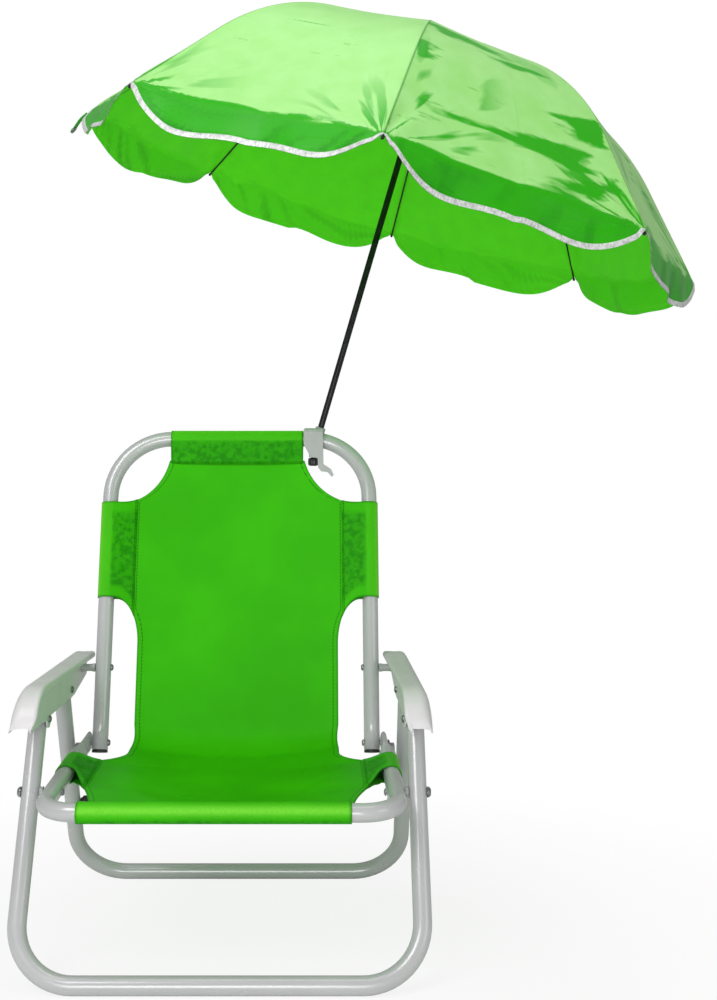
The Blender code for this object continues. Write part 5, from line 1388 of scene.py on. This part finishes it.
    def _sleeves(self) -> list[BMesh]:
        """Build the six sleeves."""
        made = [
            self._sleeve(
                lambda place, inward, front: back_point(BACK_LENGTH - inward, place, -front),
                self.top_stitch,
                lambda _: (-self.top_left - self.overrun, self.top_right + self.overrun),
                lambda place, wrapped: (place, 0.72 + wrapped),
                56,
            ),
            self._sleeve(
                lambda place, inward, front: seat_point(inward, place, -front),
                self.seat_stitch,
                lambda _: (-self.front_left, self.front_right),
                lambda place, wrapped: (place, -wrapped),
                80,
            ),
        ]
        for side, _, _ in SIDES:
            back_sleeve = self._sleeve(
                lambda place, inward, front: back_point(place, side * (BACK_HALF_WIDTH - inward), -front),
                self.back_stitch,
                lambda inward: self._back_limits(inward, side),
                lambda place, wrapped: (side * (0.13 + wrapped), 0.32 + place),
                48,
                0.010,
            )
            seat_sleeve = self._sleeve(
                lambda place, inward, front: seat_point(place, side * (SEAT_HALF_WIDTH - inward), -front),
                self.seat_stitch,
                self._seat_limits,
                lambda place, wrapped: (side * (0.15 + wrapped), place),
                36,
                0.008,
            )
            made += [back_sleeve, seat_sleeve]
        return made

    def build(self, dresser: Dresser) -> None:
        """Build the sling as one cloth that bends over the hinge."""
        work = self._panel()
        for sleeve in self._sleeves():
            bmesh.ops.recalc_face_normals(sleeve, faces=sleeve.faces)
            join(work, sleeve)
        bmesh.ops.remove_doubles(work, verts=work.verts, dist=MERGE_DISTANCE)
        piece = dresser.finish("sling", work, Finish.SLING, None, "sling_back", "sling_seat", angle=70.0)
        dresser.wall(piece, self.cloth, 0.0)
        hinge = side_point(SEAT_REAR_PIVOT)
        start = hinge - (seat_point(1.0) - seat_point(0.0)) * self.blend_reach
        end = hinge + (back_point(1.0) - back_point(0.0)) * self.blend_reach
        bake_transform(piece, "seat", "back", start=tuple(start), end=tuple(end))


# Clamp


@dataclass
class Clamp:
    """The clamp on the back's top tube: its body, thumb screw and pad."""

    centre_across: float = 0.0927
    tube_drop: float = 0.0011
    hook_edge: float = 0.0009
    pad: tuple = (
        *((0, -0.0100), (0.0048, -0.0100), (0.0048, -0.0165)),
        *((0.0029, -0.0165), (0.0029, -0.0135), (0, -0.0135)),
    )
    pad_corner: float = 0.0007
    knob: tuple = (
        *((0, -0.0331), (0.0038, -0.0331), (0.0056, -0.0322), (0.0062, -0.0306), (0.0062, -0.0250)),
        *((0.0056, -0.0232), (0.0036, -0.0226), (0.0025, -0.0226)),
    )
    screw_end: tuple = ((0.0022, -0.0157), (0.0, -0.0155))
    thread: Place = (0.0025, 0.0021)
    thread_start: float = -0.0222
    thread_pitch: float = 0.0008
    thread_turns: int = 8
    lobes: int = 6
    lobe_from: float = 0.0050
    lobe_height: float = 0.0004

    def build(self, dresser: Dresser, frame: dict) -> None:
        """Build the clamp's pieces.

        Args:
            dresser: makes the pieces.
            frame: the loaded frame, whose clamp body is refined.
        """
        centre = side_point((BACK_TOP[0], BACK_TOP[1] - self.tube_drop), self.centre_across)
        work = bmesh.new()
        work.from_mesh(frame["nodes"]["clamp_body"].data)
        bmesh.ops.remove_doubles(work, verts=work.verts, dist=MERGE_DISTANCE)
        bmesh.ops.dissolve_limit(work, angle_limit=radians(2), verts=work.verts, edges=work.edges)
        bmesh.ops.recalc_face_normals(work, faces=work.faces)
        body = dresser.finish("clamp_hook", work, Finish.GREY, "back", "clamp_body", angle=30.0)
        dresser.round_edges(body, self.hook_edge, 3)
        work = self._screw()
        bmesh.ops.transform(work, matrix=Matrix.Translation(centre), verts=work.verts)
        dresser.finish("clamp_knob", work, Finish.BLACK, "clamp_screw", "clamp_screw", angle=LATHE_ANGLE)
        work = turned(softened(self.pad, self.pad_corner), Matrix.Translation(centre))
        dresser.finish("clamp_pad_disc", work, Finish.BLACK, "clamp_pad", "clamp_pad")

    def _screw(self) -> BMesh:
        """Build the lobed knob with its threaded shank."""
        profile = list(self.knob)
        for number in range(self.thread_turns):
            turn = self.thread_start + self.thread_pitch * number
            profile += [(self.thread[0], turn), (self.thread[1], turn + self.thread_pitch / 2)]
        work = turned([*profile, *self.screw_end], Matrix.Identity(4), sides=72)
        for vert in work.verts:
            radius = hypot(vert.co.x, vert.co.y)
            if radius > self.lobe_from:
                wider = 1 + self.lobe_height * cos(self.lobes * atan2(vert.co.y, vert.co.x)) / radius
                vert.co.x *= wider
                vert.co.y *= wider
        return work


# Umbrella


@dataclass
class Umbrella:
    """The mast, its socket, crown and runner, the ribs and the canopy.

    The outlines are (radius, height) points about each piece's own axis and foot.
    """

    lean_side: float = radians(16.41)
    lean_front: float = radians(5.135)
    base_across: float = 0.1020
    behind_tube: float = 0.0215
    above_tube: float = 0.0140
    crown: float = 0.514
    runner_drop: float = 0.115
    pivot_radius: float = 0.0070
    ribs: int = 8
    rib_turn: float = radians(-2.7)
    rib_radius: float = 0.0011
    rib_start: float = 0.0010
    rib_steps: int = 30
    wire_sides: int = 12
    tip_radius: float = 0.0019
    tip_length: float = 0.0042
    tip_blend: float = 0.0006
    tip_round: float = 0.0010
    tip_end_share: float = 0.7
    reach: float = 0.402
    drop: float = 0.209
    start_slope: float = radians(10.0)
    end_slope: float = radians(47.0)
    bend_radius: float = 0.280
    joint_distance: float = 0.180
    joint_drop: float = 0.0016
    stretcher_radius: float = 0.0009
    stretcher_foot: Place = (0.0088, 0.0024)
    stretcher_gap: float = 0.001
    stretcher_steps: int = 6
    canopy_gap: float = 0.0008
    canopy_wall: float = 0.0008
    canopy_start: float = -0.0036
    edge_setback: float = 0.0075
    valance: float = 0.042
    valance_corner: float = 0.0024
    flare: float = 0.30
    scallop: float = 4.5
    gore_sag: float = 0.004
    fold_height: float = 0.0022
    fold_peak: float = 0.012
    fold_fade: float = 0.055
    rim_height: float = 0.0016
    rim_start: float = 0.72
    pull_height: float = 0.0010
    uneven_hang: float = 0.09
    hang_wave: float = 0.0028
    tape: float = 0.0062
    tape_shares: tuple = (0.02, 0.35, 0.72, 1.0)
    tape_lift: float = 0.0004
    gore_steps: int = 44
    dome_rows: int = 64
    valance_rows: int = 16
    keep: float = 0.18
    slack: tuple = (0.85, 0.45, 0.60, 0.35, 0.55, 0.40, 0.50, 0.15)
    strap_length: float = 0.032
    strap_width: float = 0.010
    strap_wall: float = 0.0011
    strap_turn: float = radians(62)
    strap_gap: float = 0.0016
    strap_curl: Place = (0.0012, 0.0004)
    snap_back: float = 0.004
    snap_drop: float = 0.0006
    strap_cells: tuple = (6, 20)
    shaft_radii: tuple = (0.0034, 0.0037, 0.0040)
    shaft_bottom: float = -0.0207
    shaft_edge: float = 0.0004
    pin_drop: float = 0.010
    pin_reach: float = 0.0112
    socket: tuple = (
        *((0, -0.0210), (0.0043, -0.0210), (0.0043, 0.0020), (0.0060, 0.0020)),
        *((0.0065, 0.0008), (0.0065, -0.0040), (0.0059, -0.0046), (0.0059, -0.0066)),
        *((0.0065, -0.0072), (0.0065, -0.0228), (0.0052, -0.0240), (0, -0.0240)),
    )
    tilt_pin: tuple = ((0, 0), (0.0021, 0), (0.0025, 0.0004), (0.0025, 0.0062), (0, 0.0062))
    ring: tuple = (
        *((0.0043, 0.0014), (0.0056, 0.0014), (0.0060, 0.0009), (0.0060, -0.0010), (0.0053, -0.0016)),
        *((0.0053, -0.0038), (0.0060, -0.0044), (0.0060, -0.0060), (0.0043, -0.0060)),
    )
    cap: tuple = (
        *((0, 0.0042), (0.0016, 0.0041), (0.0030, 0.0035), (0.0042, 0.0023), (0.0050, 0.0009)),
        *((0.0050, 0), (0.0031, 0), (0.0031, -0.0080), (0, -0.0080)),
    )
    slider: tuple = (
        *((0.0043, 0.0030), (0.0074, 0.0030), (0.0078, 0.0026), (0.0078, 0.0008), (0.0069, 0.0003)),
        *((0.0069, -0.0003), (0.0078, -0.0008), (0.0078, -0.0030), (0.0064, -0.0036), (0.0060, -0.0120)),
        *((0.0060, -0.0220), (0.0064, -0.0262), (0.0064, -0.0270), (0.0043, -0.0270)),
    )
    eye: tuple = ((0, -0.0011), (0.0016, -0.0011), (0.0016, 0.0011), (0, 0.0011))
    snap: tuple = (
        *((0, -0.0016), (0.0046, -0.0016), (0.0050, -0.0010)),
        *((0.0050, 0.0004), (0.0030, 0.0014), (0, 0.0018)),
    )

    def __post_init__(self) -> None:
        """Work out the ribs' bend and the mast's frame."""
        sine_start, sine_end = sin(self.start_slope), sin(self.end_slope)
        cosine_start, cosine_end = cos(self.start_slope), cos(self.end_slope)
        bend = self.end_slope - self.start_slope
        outward = self.reach - self.pivot_radius - self.bend_radius * (sine_end - sine_start)
        drop = self.drop - self.bend_radius * (cosine_start - cosine_end)
        self.bend_start = (outward * sine_end - drop * cosine_end) / sin(bend)
        self.bend_end = self.bend_start + self.bend_radius * bend
        self.rib_length = self.bend_end + (drop * cosine_start - outward * sine_start) / sin(bend)
        rotation = Euler((self.lean_front, self.lean_side, 0.0)).to_matrix().to_4x4()
        base = side_point((BACK_TOP[0] + self.behind_tube, BACK_TOP[1] + self.above_tube), self.base_across)
        self.frame = Matrix.Translation(base) @ rotation
        self.gore = 2 * pi / self.ribs

    def azimuth(self, number: int) -> float:
        """Return a rib's direction round the mast."""
        return 3 * pi / 2 + self.rib_turn - self.gore * (number - 1)

    def rib_slope(self, distance: float) -> float:
        """Return a rib's slope at a distance from its pivot."""
        share = clamp((distance - self.bend_start) / (self.bend_end - self.bend_start))
        return self.start_slope + (self.end_slope - self.start_slope) * share

    def rib_point(self, distance: float, lift: float = 0.0) -> Place:
        """Return the (radius, height over the crown) at a distance along a rib, and a lift off it."""
        slope = self.rib_slope(distance)
        before, after = min(distance, self.bend_start), max(distance - self.bend_end, 0.0)
        outward = before * cos(self.start_slope) + after * cos(self.end_slope)
        outward += self.bend_radius * (sin(slope) - sin(self.start_slope))
        upward = self.bend_radius * (cos(slope) - cos(self.start_slope))
        upward -= before * sin(self.start_slope) + after * sin(self.end_slope)
        return self.pivot_radius + outward + lift * sin(slope), upward + lift * cos(slope)

    def build(self, dresser: Dresser) -> None:
        """Build the umbrella."""
        self._mast(dresser)
        for number in range(1, self.ribs + 1):
            self._rib(dresser, number)
            self._stretcher(dresser, number)
        self._canopy(dresser)
        self._strap(dresser)

    def _mast(self, dresser: Dresser) -> None:
        """Build the shaft, its socket, the crown, the top cap and the runner."""
        inner, edge, outer = self.shaft_radii
        top, bottom = self.crown + self.ring[0][1], self.shaft_bottom
        shaft = ((inner, top), (edge, top), (outer, top - self.shaft_edge), (outer, bottom), (inner, bottom))
        work = turned(shaft, self.frame, True)
        dresser.finish("shaft", work, Finish.SHAFT, "mast", "mast", angle=LATHE_ANGLE)
        work = turned(softened(self.socket, 0.0005), self.frame)
        pin_end = self.frame @ Vector((0.0, 0.0, -self.pin_drop)) - Vector((0.0, self.pin_reach, 0.0))
        join(work, turned(self.tilt_pin, facing(pin_end, Vector((0.0, 1.0, 0.0)))))
        dresser.finish("tilt_socket", work, Finish.GREY, "mast", "mast_socket", angle=LATHE_ANGLE)
        seat = self._corner(self.canopy_start)[1] + TOUCH_GAP
        for name, outline, height, closed, sides, body, node in (
            ("crown_notch_ring", self.ring, 0.0, True, 48, "mast", "crown"),
            ("finial", self.cap, seat, False, 32, "mast", "top_cap"),
            ("slider", self.slider, -self.runner_drop, True, 32, "runner", "runner"),
        ):
            matrix = self.frame @ Matrix.Translation((0.0, 0.0, self.crown + height))
            work = turned(outline, matrix, closed, sides)
            dresser.finish(name, work, Finish.BLACK, body, node, angle=LATHE_ANGLE)

    def _spoke(self, number: int) -> Matrix:
        """Return the frame whose X runs out along a rib."""
        return self.frame @ Matrix.Rotation(self.azimuth(number), 4, "Z")

    def _section(self, distance: float, width: float = 1.0) -> Matrix:
        """Return where a section of a rib lies, with X along the rib."""
        radius, height = self.rib_point(distance)
        spot = Matrix.Translation((radius, 0.0, self.crown + height))
        return spot @ Matrix.Rotation(self.rib_slope(distance), 4, "Y") @ Matrix.Scale(width, 4)

    def _rib(self, dresser: Dresser, number: int) -> None:
        """Build one curved rib with its tip."""
        work = bmesh.new()
        start, wire_end, steps = self.rib_start, self.rib_length - self.tip_length, self.rib_steps
        stops = [(start + (wire_end - start) * step / steps, 1.0) for step in range(steps + 1)]
        wide = self.tip_radius / self.rib_radius
        stops += [(wire_end + self.tip_blend, wide), (self.rib_length - self.tip_round, wide)]
        stops.append((self.rib_length, wide * self.tip_end_share))
        matrix = self._section(start) @ Matrix.Rotation(pi / 2, 4, "Y")
        size = {"segments": self.wire_sides, "radius": self.rib_radius}
        bmesh.ops.create_circle(work, cap_ends=True, matrix=matrix, **size)
        rim = list(work.edges)
        for before, after in zip(stops, stops[1:]):
            rim = grow(work, rim, self._section(*after) @ self._section(*before).inverted())
        self._close_rod(dresser, work, rim, number, "rib", "wire")

    def _stretcher(self, dresser: Dresser, number: int) -> None:
        """Build one stretcher: a rod with an eye at the rib."""
        radius, height = self.rib_point(self.joint_distance)
        slope = self.rib_slope(self.joint_distance)
        foot, aside = self.stretcher_foot
        height -= self.joint_drop * cos(slope)
        end = Vector((radius - self.joint_drop * sin(slope), aside, self.crown + height))
        base = Vector((foot, aside, self.crown - self.runner_drop))
        line = end - base
        step = line.normalized() * self.stretcher_gap
        work = bmesh.new()
        matrix = facing(base + step, line)
        size = {"segments": self.wire_sides, "radius": self.stretcher_radius}
        bmesh.ops.create_circle(work, cap_ends=True, matrix=matrix, **size)
        rim = run(work, list(work.edges), line - step, self.stretcher_steps)
        eye = turned(softened(self.eye, 0.0002), facing(end, Vector((0.0, 1.0, 0.0))), sides=20)
        self._close_rod(dresser, work, rim, number, "stretcher", "rod", eye)

    def _close_rod(
        self,
        dresser: Dresser,
        work: BMesh,
        rim: Sequence[BMEdge],
        number: int,
        kind: str,
        word: str,
        extra: BMesh | None = None,
    ) -> None:
        """Close a rod's end and finish it.

        Args:
            dresser: makes the piece.
            work: the rod, along a spoke's X.
            rim: its open end.
            number: the spoke's number.
            kind: the start of the node's and the body's name.
            word: the end of the piece's name.
            extra: a shape that joins it.
        """
        bmesh.ops.contextual_create(work, geom=list(rim))
        if extra:
            join(work, extra)
        bmesh.ops.transform(work, matrix=self._spoke(number), verts=work.verts)
        bmesh.ops.recalc_face_normals(work, faces=work.faces)
        node = f"{kind}_{number}"
        dresser.finish(f"{node}_{word}", work, Finish.SHAFT, node, node, angle=LATHE_ANGLE)

    def _corner(self, distance: float) -> Place:
        """Return the canopy's (radius, height above the crown) over a rib."""
        return self.rib_point(distance, self.rib_radius + self.canopy_gap + self.canopy_wall)

    def _edge_direction(self, share: float) -> Vector:
        """Return the valance's direction, from along the ribs to hanging."""
        at_rib = Vector((cos(self.end_slope), -sin(self.end_slope)))
        between = Vector((self.flare, -1.0)).normalized()
        return (at_rib * (1 - share) + between * share).normalized()

    def _pucker(self, share: float, climb: float, radius: float, index: int) -> float:
        """Return the height of the small folds that run up from a rib's tip.

        Args:
            share: the place between the gore's two ribs.
            climb: the place from the top cap to the rib's end.
            radius: the distance from the mast.
            index: the gore.

        Returns:
            The height.
        """
        nearest = min(share, 1 - share)
        side = 1 if share < 0.5 else -1
        tangent = nearest * radius * self.gore
        back = (1 - climb) * self.rib_length
        away = hypot(tangent, back)
        turn = atan2(tangent, back + 0.004)
        phase = index * 1.9 + side * 0.7
        peak = self.fold_peak
        fade = exp(-((away - peak) / self.fold_fade) ** 2) if away > peak else (away / peak) ** 2
        folds = self.fold_height * fade * cos(8.5 * turn + phase)
        near_rim = (climb - self.rim_start) / (1 - self.rim_start)
        rim = self.rim_height * smooth_step(near_rim) * sin(pi * share)
        rim *= sin(5 * pi * share + phase * 2.3)
        pull = self.pull_height * sin(pi * share) * sin(3.1 * pi * climb + phase) * climb
        return folds + rim + pull

    def _hang(self, index: int, share: float, down: int) -> tuple[float, float, float]:
        """Return how far a point of the valance lies outward, upward and down the cloth.

        Args:
            index: the gore.
            share: the place between the gore's two ribs.
            down: the row below the dome's edge.

        Returns:
            The three distances.
        """
        scallop = 1 - abs(2 * share - 1) ** self.scallop
        uneven = 1 + self.uneven_hang * sin(3 * pi * share + index * 1.7)
        depth = self.valance_corner + (self.valance * uneven - self.valance_corner) * scallop
        plain_rows = self.valance_rows - len(self.tape_shares)
        tape = min(self.tape, depth * 0.7)
        taped = down > plain_rows
        if taped:
            reach = depth - tape + tape * self.tape_shares[down - plain_rows - 1]
        else:
            reach = (depth - tape) * down / plain_rows
        direction = self._edge_direction(scallop)
        wave = sin(5 * pi * share + index * 2.1) + 0.5 * sin(9 * pi * share + index)
        outward = reach * direction.x + self.hang_wave * reach / self.valance * scallop * wave
        return outward + self.tape_lift * taped, reach * direction.y, reach

    def _canopy_spot(self, column: int, row: int) -> tuple[Vector, Place, tuple]:
        """Return a point of the canopy in the mast's frame.

        Args:
            column: the column, counted from rib 1 against the ribs' numbers.
            row: the row, from the top cap to the valance's edge.

        Returns:
            The point, its column and its length down the cloth, and its numbers.
        """
        index, step = divmod(column, self.gore_steps)
        share = (1 - cos(pi * step / self.gore_steps)) / 2
        if index == self.ribs:
            index, share = 0, 0.0
        last = self.rib_length - self.edge_setback
        climb = min(row, self.dome_rows) / self.dome_rows
        length = self.canopy_start + (last - self.canopy_start) * climb
        radius, height = self._corner(length)
        height += self._pucker(share, climb, radius, index) - self.gore_sag * sin(pi * share) * climb
        drop = (length - last) / self.valance
        if row > self.dome_rows:
            outward, upward, reach = self._hang(index, share, row - self.dome_rows)
            radius += outward
            height += upward
            length += reach
            drop = reach / self.valance
        first = self.azimuth(1) + self.gore * index
        start, end = (Vector((cos(turn), sin(turn), 0.0)) * radius for turn in (first, first + self.gore))
        point = start.lerp(end, share) + Vector((0.0, 0.0, self.crown + height))
        seam = min(share, 1 - share) * hypot(point.x, point.y) * self.gore
        back = self.rib_length - length
        nearest = index if share < 0.5 else (index + 1) % self.ribs
        turn = atan2(seam if share < 0.5 else -seam, back)
        aside = abs(2 * share - 1)
        numbers = (seam, drop, turn, hypot(seam, back), nearest * 7.3, aside, self.slack[index])
        return point, (column, length), numbers

    def _canopy(self, dresser: Dresser) -> None:
        """Build the canopy as one sheet, then part it midway between the ribs."""
        steps = self.gore_steps
        columns, rows = self.ribs * steps, self.dome_rows + self.valance_rows
        work, cells = cloth_grid(columns, rows, CANOPY_NUMBERS, self._canopy_spot)
        uv = work.loops.layers.uv["cloth"]
        owner = work.faces.layers.int.new("rib")
        for face in work.faces:
            middle = face.calc_center_median()
            left = min(cells[vert][0] for vert in face.verts)
            low = min(cells[vert][1] for vert in face.verts)
            face[owner] = round((left + 0.5) / steps) % self.ribs
            face.material_index = 2 if low >= rows - len(self.tape_shares) else 0
            for loop in face.loops:
                loop[uv].uv.x *= hypot(middle.x, middle.y) * 2 * pi / columns
        bmesh.ops.remove_doubles(work, verts=work.verts, dist=MERGE_DISTANCE)
        bmesh.ops.transform(work, matrix=self.frame, verts=work.verts)
        bmesh.ops.recalc_face_normals(work, faces=work.faces)
        upward = self.frame.to_3x3() @ Vector((0.0, 0.0, 1.0))
        if sum(face.normal.dot(upward) * face.calc_area() for face in work.faces) < 0:
            bmesh.ops.reverse_faces(work, faces=work.faces)
        work.normal_update()
        whole = bpy.data.meshes.new("whole_canopy")
        work.to_mesh(whole)
        work.free()
        whole.shade_smooth()
        normals = [tuple(vert.normal) for vert in whole.vertices]
        layer = whole.attributes.new("full_normal", "FLOAT_VECTOR", "POINT")
        for item, normal in zip(layer.data, normals):
            item.vector = normal
        for number in range(1, self.ribs + 1):
            self._gore(dresser, whole, number)
        bpy.data.meshes.remove(whole)

    def _gore(self, dresser: Dresser, whole: bpy.types.Mesh, number: int) -> None:
        """Cut out the cloth that one rib carries."""
        index = (1 - number) % self.ribs
        work = bmesh.new()
        work.from_mesh(whole)
        owner = work.faces.layers.int["rib"]
        others = [face for face in work.faces if face[owner] != index]
        bmesh.ops.delete(work, geom=others, context="FACES")
        normal = work.verts.layers.float_vector["full_normal"]
        for item in bmesh.ops.extrude_face_region(work, geom=list(work.faces))["geom"]:
            if isinstance(item, BMVert):
                item.co -= item[normal] * self.canopy_wall
                item[normal] = -item[normal]
            elif isinstance(item, BMFace):
                # The inner side takes the lining, painted with light shining through.
                item.material_index = 1
        bmesh.ops.recalc_face_normals(work, faces=work.faces)
        name = f"canopy_cloth_{number}"
        piece = dresser.finish(name, work, Finish.CANOPY, f"rib_{number}", "canopy", angle=180.0)
        for finish in (Finish.LINING, Finish.TAPE):
            piece.data.materials.append(finish.material())
        normals = [tuple(item.vector) for item in piece.data.attributes["full_normal"].data]
        piece.data.normals_split_custom_set_from_vertices(normals)
        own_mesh(piece)

    def _strap(self, dresser: Dresser) -> None:
        """Build the closing strap with its metal end."""
        radius, height = self.rib_point(self.rib_length)
        down = Matrix.Rotation(self.strap_turn, 4, "Y")
        start = Vector((radius + self.strap_gap, 0.0, self.crown + height))
        columns, rows = self.strap_cells

        def locate(column: int, row: int) -> tuple[Vector, Place, tuple]:
            """Return a point of the strap, its flat place and its numbers."""
            aside = column / columns - 0.5
            curl = self.strap_curl[0] * sin(pi * row / rows * 1.5) + self.strap_curl[1] * cos(pi * aside)
            point = start + down @ Vector((self.strap_length * row / rows, self.strap_width * aside, curl))
            # A drop of 0.3 gives the strap the deep green and the painted shade of the valance's folds.
            return point, (point.y, point.x), (1.0, 0.3, 0.0, 1.0)

        work, _ = cloth_grid(columns, rows, CANOPY_NUMBERS, locate)
        bmesh.ops.transform(work, matrix=self._spoke(3), verts=work.verts)
        bmesh.ops.recalc_face_normals(work, faces=work.faces)
        piece = dresser.finish("closing_strap", work, Finish.CANOPY, "rib_3", "closure_strap", angle=60.0)
        dresser.wall(piece, self.strap_wall, 0.0)
        end = start + down @ Vector((self.strap_length - self.snap_back, 0.0, -self.snap_drop))
        work = turned(softened(self.snap, 0.0004), self._spoke(3) @ Matrix.Translation(end) @ down)
        dresser.finish("strap_snap", work, Finish.STEEL, "rib_3", angle=LATHE_ANGLE)


# Studio


@dataclass
class Studio:
    """The camera, the lights, the floor and the backdrop.

    A softbox is (name, place, target, size, power).
    """

    eye: tuple = (0.0941, -1.254, 0.49886)
    lens: float = 46.33
    shift: Place = (0.04415, -0.01678)
    floor_half: float = 7.0
    world: float = 0.33
    softboxes: tuple = (
        ("key_softbox", (-1.1, -1.4, 2.3), (0.1, 0.15, 0.4), 1.2, 25.0),
        ("top_softbox", (0.3, 0.3, 2.6), (0.2, 0.3, 0.9), 1.5, 14.0),
        ("fill_softbox", (1.9, -1.2, 0.9), (0.1, 0.2, 0.5), 1.0, 4.0),
        ("low_softbox", (-0.2, -2.2, 0.35), (0.1, 0.2, 0.35), 1.0, 16.0),
    )

    def build(self) -> None:
        """Build the studio."""
        self._camera()
        self._floor()
        self._world()
        for name, place, target, size, power in self.softboxes:
            data = bpy.data.lights.new(name, "AREA")
            data.size = size
            data.energy = power
            lamp = place_object(name, data)
            lamp.location = place
            lamp.rotation_euler = (Vector(target) - Vector(place)).to_track_quat("-Z", "Y").to_euler()

    def _camera(self) -> None:
        """Place the camera at the photograph's eye point, level."""
        data = bpy.data.cameras.new("camera")
        data.lens = self.lens
        data.sensor_width = 36.0
        data.shift_x, data.shift_y = self.shift
        data.clip_start, data.clip_end = 0.05, 60.0
        camera = place_object("camera", data)
        camera.location = self.eye
        camera.rotation_euler = (pi / 2, 0.0, 0.0)
        bpy.context.scene.camera = camera

    def _floor(self) -> None:
        """Build a pale floor that is whiter away from the object."""
        work = bmesh.new()
        bmesh.ops.create_grid(work, x_segments=1, y_segments=1, size=self.floor_half)
        mesh = bpy.data.meshes.new("floor")
        work.to_mesh(mesh)
        work.free()
        shop = NodeShop(bpy.data.materials.new("pale_floor"))
        camera = shop.add("LightPath", "Is Camera Ray")
        spot = shop.add("VectorMath", "Value", {0: shop.add("TexCoord", "Object")}, operation="LENGTH")
        far = ((spot - 0.35) / 0.55).clamped()
        colour = shop.mix(shop.noise(3.0, 2.0), (0.90, 0.90, 0.90), (0.94, 0.94, 0.94))
        matt = shop.add("BsdfDiffuse", 0, {"Color": colour})
        white = shop.add("Emission", 0, {"Color": (1.0, 1.0, 1.0), "Strength": 1.0})
        shares = {0: camera * (far * 0.15 + 0.85), 1: matt, 2: white}
        mesh.materials.append(shop.close(shop.add("MixShader", 0, shares)))
        place_object("floor", mesh)

    def _world(self) -> None:
        """Light everything softly and show white behind the object."""
        bpy.context.scene.world = bpy.data.worlds.new("studio")
        shop = NodeShop(bpy.context.scene.world)
        shares = {0: shop.add("LightPath", "Is Camera Ray")}
        for slot, strength in ((1, self.world), (2, 1.0)):
            shares[slot] = shop.add("Background", 0, {"Color": (1.0, 1.0, 1.0), "Strength": strength})
        shop.close(shop.add("MixShader", 0, shares))


def main() -> None:
    """Build the studio and dress every sub-assembly."""
    logging.basicConfig(level=logging.INFO, format="%(name)s: %(message)s")
    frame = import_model()
    scene = bpy.context.scene
    scene.view_settings.view_transform = "Standard"
    Studio().build()
    dresser = Dresser()
    FoldingFrame().build(dresser)
    Fixings().build(dresser)
    for side, letter, word in SIDES:
        Armrest(side, letter, word).build(dresser)
    Sling().build(dresser)
    Clamp().build(dresser, frame)
    Umbrella().build(dresser)
    LOG.info("%d pieces made", len(dresser.made))


if __name__ == "__main__":
    main()
